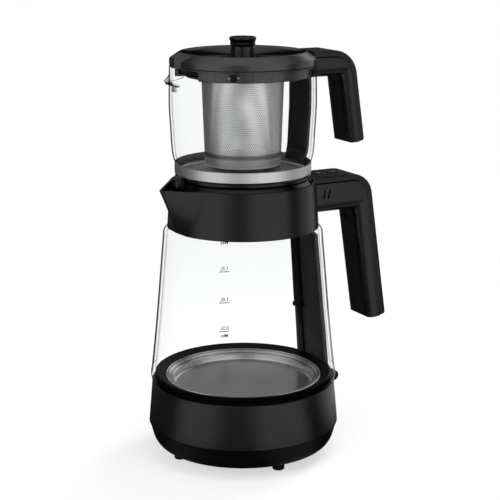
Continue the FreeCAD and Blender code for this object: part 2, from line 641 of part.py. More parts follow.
def make_lever(wall_r_in):
    """Switch paddle: a boss on the pin and a flat paddle out through the housing's slot."""
    inner = wall_r_in + 1.6
    low = LEVER_PIN_Z + LEVER_RISE - LEVER_H / 2
    high = low + LEVER_H
    tip = LEVER_TIP_X
    paddle = prism_y(face_xz((LEVER_PIN_X, LEVER_PIN_Z - LEVER_BOSS_R), (inner, low), (tip - 4.0, low),
                             ((tip, (low + high) / 2), (tip - 4.0, high)), (inner, high),
                             (inner, LEVER_PIN_Z + LEVER_BOSS_R + 1.0),
                             (LEVER_PIN_X, LEVER_PIN_Z + LEVER_BOSS_R)), LEVER_W / 2)
    boss = Part.makeCylinder(LEVER_BOSS_R, LEVER_W, V(LEVER_PIN_X, -LEVER_W / 2, LEVER_PIN_Z), V(0, 1, 0))
    bore = Part.makeCylinder(LEVER_PIN_R + RUN, LEVER_W, V(LEVER_PIN_X, -LEVER_W / 2, LEVER_PIN_Z), V(0, 1, 0))
    keep("power_lever", fused([paddle, boss]).cut(bore))


def make_heater():
    groove_in = PAN_FLOOR_R
    floor = PAN_FLOOR
    rim = LEDGE_TOP + PAN_RIM_RISE
    dip = floor - PAN_GROOVE_DEPTH
    step = PAN_R - PAN_SLOPE_W
    knee = rim - 4.2
    bend = groove_in + PAN_GROOVE_W
    pan = revolved((0, floor), (groove_in - PAN_GROOVE_DEPTH, floor), (groove_in, dip), (bend, dip),
                   (step, knee), (PAN_R - 1.0, rim), ((PAN_R - 0.3, rim - 0.3), (PAN_R, rim - 1.0)),
                   (PAN_R, LEDGE_TOP), (PAN_R - PAN_T, LEDGE_TOP), (PAN_R - PAN_T, rim - PAN_T - 0.8),
                   (step + PAN_T, knee - PAN_T), (bend + PAN_T, dip - PAN_T), (groove_in - PAN_T, dip - PAN_T),
                   (groove_in - PAN_T - PAN_GROOVE_DEPTH, floor - PAN_T), (0, floor - PAN_T))
    keep("heater_pan", pan)
    under = floor - PAN_T
    keep("heat_spreader", pipe(0, SPREADER_R, under - SPREADER_T, under))
    centre_z = under - SPREADER_T - ELEMENT_TUBE_R + ELEMENT_FLAT
    tube = Part.Face(Part.Wire(Part.makeCircle(ELEMENT_TUBE_R, V(ELEMENT_RING_R, 0, centre_z), V(0, 1, 0))))
    first = 180.0 + (360.0 - ELEMENT_SWEEP) / 2
    hoop = turned(tube.revolve(V(0, 0, 0), AXIS, ELEMENT_SWEEP), first)
    ends = []
    for angle in (first, -first):
        pin = Part.makeCylinder(ELEMENT_PIN_R, ELEMENT_PIN_H, V(ELEMENT_RING_R, 0, centre_z - ELEMENT_PIN_H))
        ends.append(turned(pin, angle))
    element = fused([hoop] + ends).cut(pipe(0, 2 * ELEMENT_RING_R, under - SPREADER_T, under + 5))
    keep("heating_element", element)


def glass_outer_r(z):
    return along(GLASS_OUTLINE, z - SEAM)


def glass_inner_r(z):
    low, radius = GLASS_OUTLINE[0]
    if z < SEAM + low:
        return radius - GLASS_WALL - GLASS_TUCK
    return glass_outer_r(z) - GLASS_WALL


def make_seal():
    """Silicone ring between the pan and the glass, with a lip up the glass."""
    glass_in = GLASS_FOOT_R - GLASS_WALL
    lip = LEDGE_TOP + SEAL_RISE
    wall = GLASS_OUTLINE[0][1] - GLASS_WALL - GLASS_TUCK
    keep("glass_seal", revolved((PAN_R, LEDGE_TOP), (PAN_R, LEDGE_TOP + PAN_RIM_RISE - 1.0), (wall - 1.2, lip),
                                (wall - PLAY, lip - 0.6), (glass_in - PLAY, SEAM + 0.6), (glass_in - PLAY, LEDGE_TOP)))


def make_glass():
    neck = GLASS_FOOT_R
    shoulder = SEAM + GLASS_OUTLINE[-1][0]
    first = GLASS_OUTLINE[0]
    outer = [(r, SEAM + h) for h, r in GLASS_OUTLINE]
    inner = [(r - GLASS_WALL, z) for r, z in outer]
    outer_edge = curve_xz(outer)
    inner_edge = curve_xz(inner[::-1])
    top = COLLAR_BOTTOM + TOP_NECK_H
    neck_z = COLLAR_BOTTOM - GAP
    body = revolved((neck - GLASS_WALL, LEDGE_TOP), (neck, LEDGE_TOP), (neck, SEAM + GAP),
                    (HOUSING_TOP_R - 0.6, SEAM + GAP), ((HOUSING_TOP_R + 0.7, SEAM + 2.6), (first[1], SEAM + first[0])),
                    outer_edge,
                    ((outer[-1][0] - 1.2, shoulder + 3.0), (outer[-1][0] - 4.0, shoulder + SHOULDER_RISE)),
                    (TOP_NECK_R, neck_z), (TOP_NECK_R, top), (TOP_NECK_R - GLASS_WALL, top),
                    (TOP_NECK_R - GLASS_WALL, neck_z - 3.0), (inner[-1][0] - 3.0, shoulder + 1.4),
                    inner[-1], inner_edge, (inner[0][0] - GLASS_TUCK, SEAM + 4.5), (neck - GLASS_WALL, SEAM + 0.6))
    keep("kettle_glass", body)


# ================================================================ collar, spout and loose ring
def collar_r(z):
    return cone_r(z, COLLAR_BOTTOM, COLLAR_BOTTOM_R, COLLAR_TOP, COLLAR_TOP_R)


def spout_plan(share):
    """Height, nose radius and half angle of the spout at a share of the collar's height."""
    z = COLLAR_BOTTOM + share * COLLAR_H
    bowed = share - SPOUT_BOW * share * (1 - share)
    nose = SPOUT_FOOT_R + bowed * (SPOUT_TIP_R - SPOUT_FOOT_R)
    half = math.radians(SPOUT_FOOT_HALF + share * (SPOUT_TOP_HALF - SPOUT_FOOT_HALF))
    return z, nose, half


def nose_lines(share, inset):
    """Points of one flat side of the spout at a height, set in by inset: on its nose, and at the collar."""
    z, nose, half = spout_plan(share)
    centre = V(-(nose - SPOUT_NOSE_R), 0, z)
    crease = V(-collar_r(z) * math.cos(half), collar_r(z) * math.sin(half), z)
    away = crease - centre
    spread = math.acos(SPOUT_NOSE_R / away.Length)
    angle = math.atan2(away.y, -away.x) - spread
    square = V(-math.cos(angle), math.sin(angle), 0)
    return centre, square, centre + square * (SPOUT_NOSE_R - inset), crease - square * inset


def mirrored(point):
    return V(point.x, -point.y, point.z)


def ring_of(points_and_arcs):
    """Closed wire through points; a pair of points is an arc by its middle and end."""
    last = points_and_arcs[0]
    edges = []
    for step in points_and_arcs[1:] + points_and_arcs[:1]:
        if isinstance(step, tuple):
            edges.append(Part.Arc(last, step[0], step[1]).toShape())
            last = step[1]
        else:
            edges.append(Part.LineSegment(last, step).toShape())
            last = step
    return Part.Wire(edges)


def collar_section(share):
    """Level outline of collar and spout: the round back, two flat sides and a blunt nose."""
    z, nose, half = spout_plan(share)
    start, crease = nose_lines(share, 0)[2:]
    r = collar_r(z)
    flank = V(-r * math.cos((half + math.pi) / 2), r * math.sin((half + math.pi) / 2), z)
    back = V(r, 0, z)
    last = (mirrored(flank), mirrored(crease))
    return ring_of([crease, (flank, back), last, mirrored(start), (V(-nose, 0, z), start)])


def throat_section(share):
    """Level outline of the hollow of the spout, from inside the collar's wall to its nose."""
    centre, square, start, crease = nose_lines(share, SPOUT_WALL)
    inner = crease * ((collar_r(centre.z) - THROAT_IN) / math.hypot(crease.x, crease.y))
    inner.z = centre.z
    tip = V(centre.x - SPOUT_NOSE_R + SPOUT_WALL, 0, centre.z)
    return ring_of([inner, crease, start, (tip, mirrored(start)), mirrored(crease), mirrored(inner)])


def make_collar():
    inner_top = COLLAR_TOP_R - COLLAR_WALL
    inner_bottom = COLLAR_BOTTOM_R - COLLAR_WALL
    bore = revolved((0, COLLAR_BOTTOM - 1), (inner_bottom, COLLAR_BOTTOM - 1), (inner_bottom, COLLAR_BOTTOM),
                    (inner_top, COLLAR_TOP), (inner_top, COLLAR_TOP + 5), (0, COLLAR_TOP + 5))
    shares = [i / (SPOUT_SECTIONS - 1) for i in range(SPOUT_SECTIONS)]
    outside = Part.makeLoft([collar_section(share) for share in shares], True)
    throat_low = TOP_NECK_H / COLLAR_H
    levels = [throat_low + (THROAT_TOP - throat_low) * share for share in shares]
    throat = Part.makeLoft([throat_section(level) for level in levels], True)
    crease_x = -COLLAR_TOP_R * math.cos(math.radians(SPOUT_TOP_HALF))
    tip_x = -SPOUT_TIP_R
    past = 2.0
    slope = SPOUT_DIP / (crease_x - tip_x)
    dip = prism_y(face_xz((crease_x, COLLAR_TOP), (tip_x - past, COLLAR_TOP - SPOUT_DIP - past * slope),
                          (tip_x - past, COLLAR_TOP + past), (crease_x, COLLAR_TOP + past)), COLLAR_TOP_R)
    body = outside.cut(dip).cut(bore).cut(throat)
    seat_in = inner_top - SEAT_W
    seat_r = collar_r(RING_SEAT) - COLLAR_WALL
    seat_low_r = collar_r(RING_SEAT - SEAT_T - SEAT_W) - COLLAR_WALL
    seat = revolved((seat_in, RING_SEAT), (seat_r, RING_SEAT), (seat_low_r, RING_SEAT - SEAT_T - SEAT_W),
                    (seat_in, RING_SEAT - SEAT_T))
    seat = seat.cut(wedge(180, SPOUT_TOP_HALF, COLLAR_BOTTOM_R + 5, COLLAR_BOTTOM, COLLAR_TOP))
    neck_top = COLLAR_BOTTOM + TOP_NECK_H
    pad_low = COLLAR_BOTTOM + 3.0
    neck_pad = revolved((TOP_NECK_R, pad_low), (collar_r(pad_low) - COLLAR_WALL, pad_low),
                        (collar_r(neck_top) - COLLAR_WALL, neck_top), (TOP_NECK_R, neck_top))
    return fused([body, seat, neck_pad])


def make_ring():
    """Loose ring that closes the collar's mouth and carries the teapot."""
    top = COLLAR_TOP + RING_RISE
    outer = COLLAR_TOP_R - COLLAR_WALL - GAP
    bottom = RING_SEAT + GAP / 2
    body = revolved((RING_BORE_R, bottom), (outer, bottom), (outer, COLLAR_TOP - 1.4), (RING_TOP_R, top - 0.6),
                    (RING_TOP_R - 0.6, top), (RING_BORE_R + 3.2, top), (RING_BORE_R + 3.2, top - 2.4),
                    (outer - 2.2, COLLAR_TOP - 2.6), (outer - 2.2, bottom + RING_T), (RING_BORE_R, bottom + RING_T))
    tab_in = BAND_R + 2 * GAP
    tab = Part.makeBox(TAB_R - tab_in, 2 * TAB_HALF_W, COLLAR_TOP + TAB_RISE - bottom, V(-TAB_R, -TAB_HALF_W, bottom))
    front = [e for e in tab.Edges if e.BoundBox.XMax < -TAB_R + 0.01 and e.BoundBox.ZMax > bottom + 0.01]
    tab = tab.makeFillet(TAB_ROUND, front)
    root = Part.makeBox(5.0, 2 * TAB_HALF_W, COLLAR_TOP - 1.4 - bottom, V(-tab_in - 1.0, -TAB_HALF_W, bottom))
    return fused([body, tab, root])


def make_spine():
    """Moulded bracket inside the glass that carries the wires up to the handle, and its steam duct."""
    foot = LEDGE_TOP + SEAL_RISE + PLAY
    shoulder = SEAM + GLASS_OUTLINE[-1][0]
    neck_in = TOP_NECK_R - GLASS_WALL - GAP
    top = COLLAR_BOTTOM + TOP_NECK_H + 8.0

    def strip(offset, thick, z_low, z_high):
        straight_top = min(z_high, shoulder - 6.0)
        outer = [(glass_inner_r(z) - GAP - offset, z) for z in heights(z_low, straight_top)]
        steps = [(outer[0][0] - thick, z_low)] + outer
        if z_high > shoulder:
            steps += [(neck_in - offset, knee(offset)), (neck_in - offset, z_high),
                      (neck_in - offset - thick, z_high), (neck_in - offset - thick, knee(offset + thick))]
        steps += [(r - thick, z) for r, z in outer[:0:-1]]
        return revolved(*steps)

    def knee(offset):
        return shoulder - 0.5 - 0.7 * offset

    def heights(low, high):
        inside = [SEAM + h for h, r in GLASS_OUTLINE if low + 2 < SEAM + h < high - 2]
        return [low] + inside + [high]

    reach = HOUSING_BOTTOM_R
    body = strip(0, SPINE_T, foot, top).common(wedge(0, SPINE_HALF, reach, foot, top))
    joint = SEAM + DUCT_BREAK_RISE
    upper = strip(SPINE_T, DUCT_T, joint, top).common(wedge(DUCT_AZIMUTH, DUCT_HALF, reach, joint, top))
    lower = strip(SPINE_T, DUCT_LOWER_T, foot, joint).common(wedge(DUCT_AZIMUTH, DUCT_LOWER_HALF, reach, foot, joint))
    sleeve = strip(SPINE_T, DUCT_T + 0.8, joint - 2.0, joint + 2.0)
    sleeve = sleeve.common(wedge(DUCT_AZIMUTH, DUCT_HALF + 0.9, reach, joint - 2.0, joint + 2.0))
    keep("kettle_spine", body)
    keep("steam_duct", fused([upper, lower, sleeve]))


# ================================================================ handles
def handle_sides(root_x, top, arm_h, bend_x, bend_r, leg_t, drop):
    """Outer and inner corner points of a handle seen from the side."""
    lean = math.radians(LEAN)
    down = V(math.sin(lean), 0, -math.cos(lean))
    out = V(math.cos(lean), 0, math.sin(lean))
    centre = V(bend_x, 0, top - bend_r)
    bend_end = centre + out * bend_r
    bottom = top - drop
    reach = (bend_end.z - bottom) / math.cos(lean) - leg_t * math.tan(lean)
    outer_tip = bend_end + down * reach
    inner_tip = outer_tip - out * leg_t
    under = top - arm_h
    inner_top = inner_tip - down * ((under - inner_tip.z) / math.cos(lean))
    return {"down": down, "out": out, "centre": centre, "bend_end": bend_end, "outer_tip": outer_tip,
            "inner_tip": inner_tip, "inner_top": inner_top, "under": under, "root_x": root_x, "top": top,
            "bend_x": bend_x, "bend_r": bend_r, "leg_t": leg_t}


def flat(point):
    return (point.x, point.z)


def handle_arc(h, inset):
    """Middle and end of the outer bend, set in by inset."""
    r = h["bend_r"] - inset
    half = math.radians((90 + LEAN) / 2)
    middle = h["centre"] + V(math.sin(half), 0, math.cos(half)) * r
    return flat(middle), flat(h["centre"] + h["out"] * r)


def leg_end(h):
    """Lower end of a leg from its outer to its inner side, with both corners rounded."""
    down, out = h["down"] * TIP_ROUND, h["out"] * TIP_ROUND
    outer, inner = h["outer_tip"], h["inner_tip"]
    bulge = 1 - math.sqrt(0.5)
    return [flat(outer - down), (flat(outer - (down + out) * bulge), flat(outer - out)),
            flat(inner + out), (flat(inner - (down - out) * bulge), flat(inner - down))]


def make_handle(h, width):
    """Grip and outer cover of a handle whose arm starts at h['root_x']."""
    body = prism_y(face_xz((h["root_x"], h["under"]), (h["root_x"], h["top"]), (h["bend_x"], h["top"]),
                           handle_arc(h, 0), *leg_end(h), flat(h["inner_top"])), width / 2)
    high = 30.0
    arm = Part.makeBox(2 * h["bend_x"], width, high + h["top"] - h["under"], V(0, -width / 2, h["under"]))
    low_edges = [e for e in arm.Edges if e.BoundBox.ZMax < h["under"] + 0.01 and e.BoundBox.XLength > 1]
    arm = arm.makeFillet(GRIP_ROUND, low_edges)
    length = (h["outer_tip"] - h["bend_end"]).Length + 3 * h["bend_r"] + h["leg_t"]
    leg = Part.makeBox(h["leg_t"] + high, width, length, V(0, -width / 2, 0))
    near_edges = [e for e in leg.Edges if e.BoundBox.XMax < 0.01 and e.BoundBox.ZLength > 1]
    leg = leg.makeFillet(GRIP_ROUND, near_edges)
    leg.rotate(V(0, 0, 0), V(0, 1, 0), -LEAN)
    leg.translate(h["inner_tip"])
    body = body.common(arm.fuse(leg))
    skin_face = face_xz((h["root_x"], h["top"] - SKIN), (h["root_x"], h["top"]), (h["bend_x"], h["top"]),
                        handle_arc(h, 0), *leg_end(h)[:2], flat(h["outer_tip"] - h["out"] * SKIN),
                        handle_arc(h, SKIN)[1], (handle_arc(h, SKIN)[0], (h["bend_x"], h["top"] - SKIN)))
    grip = body.cut(prism_y(skin_face, width))
    skin = prism_y(skin_face, width / 2 - SKIN_INSET)
    return grip, soften(skin, h)


def cover_screw(h):
    """Screw through the leg, high on its inner side, that holds the cover, and the hole for it."""
    length = h["leg_t"] - SKIN + COVER_BITE - COVER_SCREW_SINK
    place = h["inner_top"] + h["down"] * COVER_SCREW_DOWN + h["out"] * COVER_SCREW_SINK
    hole = placed(screw_hole(length, above=3.0), place, h["out"] * -1)
    return placed(screw(length), place, h["out"] * -1), hole


def soften(skin, h):
    """Round the two long outer edges of a handle's cover."""
    def on_outside(edge):
        point = edge.valueAt((edge.FirstParameter + edge.LastParameter) / 2)
        if edge.BoundBox.YLength > 0.01:
            return False
        if point.x < h["bend_x"]:
            return point.z > h["top"] - 0.01
        if (point - h["centre"]).Length > h["bend_r"] - 0.01 and point.z > h["bend_end"].z:
            return True
        return abs((point - h["bend_end"]).dot(h["out"])) < 0.01
    return skin.makeFillet(SKIN_ROUND, [e for e in skin.Edges if on_outside(e)])


def make_kettle_handle(collar):
    root = COLLAR_TOP_R - COLLAR_WALL
    h = handle_sides(root, KETTLE_ARM_TOP, KETTLE_ARM_H, KETTLE_BEND_X, KETTLE_BEND_R, KETTLE_LEG_T, KETTLE_HANDLE_H)
    grip, skin = make_handle(h, KETTLE_GRIP_W)
    cone = revolved((0, COLLAR_BOTTOM - 5), (collar_r(COLLAR_BOTTOM - 5), COLLAR_BOTTOM - 5),
                    (collar_r(COLLAR_TOP + 5), COLLAR_TOP + 5), (0, COLLAR_TOP + 5))
    grip = grip.cut(cone)
    skin = skin.cut(cone)
    panel_bottom = KETTLE_ARM_TOP + PANEL_PROUD - PANEL_T
    seat = rounded_plate(PANEL_X0 - PLAY, PANEL_X1 + PLAY, PANEL_W + 2 * PLAY, panel_bottom, KETTLE_ARM_TOP + 5,
                         PANEL_ROUND + PLAY)
    pocket = rounded_plate(PANEL_X0 + POCKET_MARGIN, PANEL_X1 - POCKET_MARGIN, PANEL_W - 2 * POCKET_MARGIN,
                           KETTLE_ARM_TOP - POCKET_DEPTH, KETTLE_ARM_TOP, PANEL_ROUND - POCKET_MARGIN)
    skin = skin.cut(seat).cut(pocket)
    grip = grip.cut(seat).cut(pocket)
    for side in (-0.5, 0.5):
        slot = Part.makeBox(VENT_W, VENT_DEPTH, VENT_H, V(-VENT_W / 2, -KETTLE_GRIP_W / 2, -VENT_H / 2))
        slot.rotate(V(0, 0, 0), V(0, 1, 0), VENT_LEAN)
        slot.translate(V(VENT_X + side * VENT_PITCH, 0, KETTLE_ARM_TOP - VENT_DROP))
        grip = grip.cut(slot)
    inward = V(-1, 0, 0)
    screw_x = collar_r(KETTLE_ARM_TOP - KETTLE_ARM_H / 2) - COLLAR_WALL - SCREW_HEAD_H
    screws = []
    for y in (-9.0, 9.0):
        place = V(screw_x, y, KETTLE_ARM_TOP - KETTLE_ARM_H / 2)
        hole = placed(screw_hole(12.0), place, inward)
        grip = grip.cut(hole)
        collar = collar.cut(hole)
        screws.append(placed(screw(12.0), place, inward))
    joint = cover_screw(h)
    screws.append(joint[0])
    grip = grip.cut(joint[1])
    skin = skin.cut(joint[1])
    keep("kettle_handle_grip", grip)
    keep("kettle_handle_cover", skin)
    keep("kettle_handle_screws", Part.makeCompound(screws))
    keep("collar", collar)
    make_panel(panel_bottom)


def make_panel(bottom):
    top = KETTLE_ARM_TOP + PANEL_PROUD
    panel = rounded_plate(PANEL_X0, PANEL_X1, PANEL_W, bottom, top, PANEL_ROUND)
    board_bottom = KETTLE_ARM_TOP - POCKET_DEPTH
    board = rounded_plate(PANEL_X0 + POCKET_MARGIN + PLAY, PANEL_X1 - POCKET_MARGIN - PLAY,
                          PANEL_W - 2 * POCKET_MARGIN - 2 * PLAY, board_bottom, board_bottom + BOARD_T,
                          PANEL_ROUND - POCKET_MARGIN)
    names = ("boil", "keep_warm")
    for x, name in zip(BUTTON_X, names):
        panel = panel.cut(Part.makeCylinder(BUTTON_R + BUTTON_GAP, PANEL_T, V(x, 0, bottom)))
        cap_top = top + BUTTON_PROUD
        foot = board_bottom + BOARD_T + SWITCH_H + BUTTON_TRAVEL + PLAY
        flange = bottom - GAP
        cap = revolved((0, foot), (STEM_R, foot), (STEM_R, flange - BUTTON_FLANGE_T),
                       (BUTTON_FLANGE_R, flange - BUTTON_FLANGE_T), (BUTTON_FLANGE_R, flange), (BUTTON_R, flange),
                       (BUTTON_R, cap_top - 0.5), (BUTTON_R - 0.5, cap_top), (LENS_R, cap_top),
                       (LENS_R, cap_top - LENS_T), (0, cap_top - LENS_T))
        lens = revolved((0, cap_top - LENS_T), (LENS_R, cap_top - LENS_T), (LENS_R, cap_top), (0, cap_top + 0.2))
        for piece, label in ((cap, "%s_button"), (lens, "%s_light")):
            piece.translate(V(x, 0, 0))
            keep(label % name, piece)
        switch = Part.makeCylinder(SWITCH_R, SWITCH_H, V(x, 0, board_bottom + BOARD_T))
        board = board.fuse(switch)
    keep("control_panel", panel)
    keep("switch_board", board.removeSplitter())


# ================================================================ teapot
def pot_outer_r(z):
    return along(POT_OUTLINE, z - POT_GLASS_BOTTOM)


def lip_section(x, half, side, low):
    """Upright outline across the pouring lip: open above, with a round bottom from side to side."""
    high = POT_RIM + LIP_SAG
    return ring_of([V(x, -half, high), V(x, -half, side), (V(x, 0, low), V(x, half, side)), V(x, half, high)])


def lip_solid(inset):
    """Lip from inside the wall to its tip; the hollow, set in by inset, runs on past the tip."""
    wall_in = pot_outer_r(POT_RIM - LIP_FOOT_DROP) - POT_WALL
    root_x = -math.sqrt(wall_in ** 2 - LIP_HALF_W ** 2)
    past = 3.0 if inset else 0.0
    share = 1.0 + past / (LIP_TIP_R + root_x)
    half = LIP_HALF_W + share * (LIP_TIP_HALF_W - LIP_HALF_W)
    low = POT_RIM - LIP_FOOT_DROP + share * (LIP_FOOT_DROP - LIP_TIP_DROP)
    side = POT_RIM - share * (LIP_SAG - LIP_SIDE_RISE)
    root = lip_section(root_x, LIP_HALF_W - inset, POT_RIM, POT_RIM - LIP_FOOT_DROP + inset)
    tip = lip_section(-LIP_TIP_R - past, max(half - inset, 0.5), side, min(low + inset, side - 0.5))
    return Part.makeLoft([root, tip], True, True)


def make_pot():
    outer = [(r, POT_GLASS_BOTTOM + h) for h, r in POT_OUTLINE]
    inner = [(r - POT_WALL, z) for r, z in outer]
    band_in = BAND_R - BAND_T
    floor = POT_GLASS_BOTTOM + POT_FLOOR_T
    rim_mid = (outer[-1][0] - POT_WALL / 2, POT_RIM)
    wall = revolved((0, POT_GLASS_BOTTOM), (band_in - 3.0, POT_GLASS_BOTTOM),
                    ((band_in - 0.9, POT_GLASS_BOTTOM + 0.9), (band_in, POT_GLASS_BOTTOM + 3.0)),
                    (band_in, outer[0][1] - 1.2), outer[0], curve_xz(outer), rim_mid, inner[-1],
                    curve_xz(inner[::-1]), (inner[0][0] - 0.6, floor + 3.2),
                    ((inner[0][0] - 1.6, floor + 1.0), (inner[0][0] - 4.0, floor)), (0, floor))
    outside = revolved((0, POT_GLASS_BOTTOM), (band_in, POT_GLASS_BOTTOM), (band_in, outer[0][1] - 1.2), outer[0],
                       curve_xz(outer), (0, POT_RIM))
    clear = POT_RIM + 2 * LIP_SAG
    fall_x = -math.sqrt(pot_outer_r(POT_RIM) ** 2 - (LIP_HALF_W + 2.0) ** 2)
    fall = curve_xz(((fall_x, POT_RIM), (-pot_outer_r(POT_RIM), POT_RIM - LIP_SAG_AT_WALL),
                     (-LIP_TIP_R - 3.0, POT_RIM - LIP_SAG)))
    back_x = -BASKET_TOP_R
    over = face_xz((back_x, clear), (back_x, POT_RIM), (fall_x, POT_RIM), fall, (-LIP_TIP_R - 3.0, clear))
    above = prism_y(over, LIP_HALF_W + 5.0)
    lip = lip_solid(0).cut(outside).cut(above)
    glass = wall.fuse(lip).cut(lip_solid(LIP_HOLLOW_INSET).cut(pipe(0, inner[-1][0] - 6.0, floor, POT_RIM + 20)))
    glass = glass.cut(above.common(pipe(inner[-1][0] - 1, LIP_TIP_R + 10, POT_RIM - LIP_FOOT_DROP, clear)))
    foot_edge = 0.8
    skirt_out = RING_BORE_R - 2 * GAP
    ring = revolved((skirt_out - SKIRT_T, POT_FOOT - SKIRT_DROP), (skirt_out - 0.5, POT_FOOT - SKIRT_DROP),
                    (skirt_out, POT_FOOT - SKIRT_DROP + 0.5), (skirt_out, POT_FOOT), (FOOT_RING_R - foot_edge, POT_FOOT),
                    ((FOOT_RING_R + 0.1, POT_FOOT + 1.6), (FOOT_RING_R - 0.4, BAND_BOTTOM - foot_edge)),
                    (FOOT_RING_R - foot_edge, BAND_BOTTOM), (skirt_out - SKIRT_T, BAND_BOTTOM))
    band = pipe(band_in, BAND_R, BAND_BOTTOM, BAND_BOTTOM + BAND_H)
    rims = [e for e in band.Edges if abs(e.BoundBox.XMax - BAND_R) < 0.1 and e.BoundBox.ZLength < 0.01]
    keep("teapot_foot_ring", ring)
    keep("teapot_band", band.makeFillet(0.35, rims))
    return glass.removeSplitter()


def make_teapot_handle(glass):
    root = pot_outer_r(POT_RIM) - 4.0
    h = handle_sides(root, TEAPOT_ARM_TOP, TEAPOT_ARM_H, TEAPOT_BEND_X, TEAPOT_BEND_R, TEAPOT_LEG_T, TEAPOT_HANDLE_H)
    grip, skin = make_handle(h, TEAPOT_GRIP_W)
    outer = [(r + PLAY, POT_GLASS_BOTTOM + z) for z, r in POT_OUTLINE]
    clear_of_lid = LID_R + 2 * GAP
    room = revolved((0, outer[0][1]), outer[0], curve_xz(outer), (clear_of_lid, POT_RIM), (clear_of_lid, LID_CREST + 9),
                    (0, LID_CREST + 9))
    grip = grip.cut(room)
    skin = skin.cut(room)
    z_low = POT_GLASS_BOTTOM + POT_FLOOR_T + 1.5
    stations = [POT_GLASS_BOTTOM + h for h, r in POT_OUTLINE if POT_GLASS_BOTTOM + h > z_low + 8]
    stations = [z_low + 7.0] + stations[:-1] + [POT_RIM - 0.3]
    face = [(pot_outer_r(z) - POT_WALL - GAP, z) for z in stations]
    back = [(r - BRACKET_T, z) for r, z in face[::-1]]
    strip = revolved((face[0][0] - BRACKET_T - 1.5, z_low), (face[0][0] - 2.6, z_low), *(face + back))
    bracket = strip.common(wedge(0, BRACKET_HALF, 2 * BAND_R, z_low, POT_RIM))
    limit = STRAINER_R + GAP
    bracket = bracket.cut(pipe(0, limit, WEB_BOTTOM - 2, POT_RIM + 1))
    screws = []
    z = POT_RIM - 6.5
    for y in (-8.0, 8.0):
        start = math.sqrt((pot_outer_r(z) - POT_WALL - GAP - BRACKET_T + 1.5) ** 2 - y ** 2)
        place = V(start, y, z)
        hole = placed(screw_hole(12.0, 4.0), place, V(-1, 0, 0))
        glass = glass.cut(placed(Part.makeCylinder(SCREW_R + PLAY, 12, V(0, 0, -12)), place, V(-1, 0, 0)))
        glass = glass.cut(hole)
        grip = grip.cut(hole)
        bracket = bracket.cut(hole)
        screws.append(placed(screw(12.0), place, V(-1, 0, 0)))
    joint = cover_screw(h)
    screws.append(joint[0])
    grip = grip.cut(joint[1])
    skin = skin.cut(joint[1])
    keep("teapot_glass", glass)
    keep("teapot_bracket", bracket)
    keep("teapot_handle_grip", grip)
    keep("teapot_handle_cover", skin)
    keep("teapot_handle_screws", Part.makeCompound(screws))


# ================================================================ strainer and lid
def make_strainer():
    inner = STRAINER_R - STRAINER_WALL
    hang = BASKET_TOP_R + BASKET_LIP_W
    ring = revolved((inner, WEB_BOTTOM + WEB_T), (inner, FLANGE_TOP), (STRAINER_FLANGE_R, FLANGE_TOP),
                    (STRAINER_FLANGE_R, FLANGE_BOTTOM), (STRAINER_R, FLANGE_BOTTOM), (STRAINER_R, WEB_BOTTOM + 0.5),
                    (STRAINER_R - 0.5, WEB_BOTTOM), (BASKET_TOP_R, WEB_BOTTOM), (BASKET_TOP_R, WEB_BOTTOM + WEB_T))
    mouth = pipe(inner - 6.0, STRAINER_R + 1, WEB_BOTTOM - 1, FLANGE_BOTTOM)
    ring = ring.cut(mouth.common(wedge(180, POUR_HALF, 2 * STRAINER_R, WEB_BOTTOM - 1, FLANGE_BOTTOM)))
    pegs = []
    for azimuth in (180 - CLIP_AZIMUTH, 180 + CLIP_AZIMUTH):
        notch = Part.makeBox(3.0, NOTCH_W, FLANGE_BOTTOM - WEB_BOTTOM - WEB_T,
                             V(STRAINER_R - 1.6, -NOTCH_W / 2, WEB_BOTTOM))
        ring = ring.cut(turned(notch, azimuth))
        for side in (-1, 1):
            line = Part.makeBox(2.0, CLIP_CUT, FLANGE_BOTTOM - WEB_BOTTOM, V(STRAINER_R - 0.6, -CLIP_CUT / 2, WEB_BOTTOM))
            ring = ring.cut(turned(line, azimuth + side * CLIP_HALF))
            peg = Part.makeCylinder(PEG_R, 2.0, V(STRAINER_R - 1.6, side * PEG_OFFSET, FLANGE_BOTTOM - 4.6), V(1, 0, 0))
            pegs.append(turned(peg, azimuth))
    ring = fused([ring] + pegs)
    keep("strainer_collar", ring)
    bottom = WEB_BOTTOM + WEB_T + BASKET_WALL - BASKET_H
    wall = BASKET_WALL
    top = WEB_BOTTOM + WEB_T
    basket = revolved((BASKET_TOP_R - PLAY, top), (hang, top), (hang, top + wall), (BASKET_TOP_R - wall, top + wall),
                      (BASKET_BOTTOM_R - wall, bottom + wall), (0, bottom + wall), (0, bottom),
                      (BASKET_BOTTOM_R - 1.2, bottom), (BASKET_BOTTOM_R, bottom + 1.2))
    keep("strainer_basket", basket)


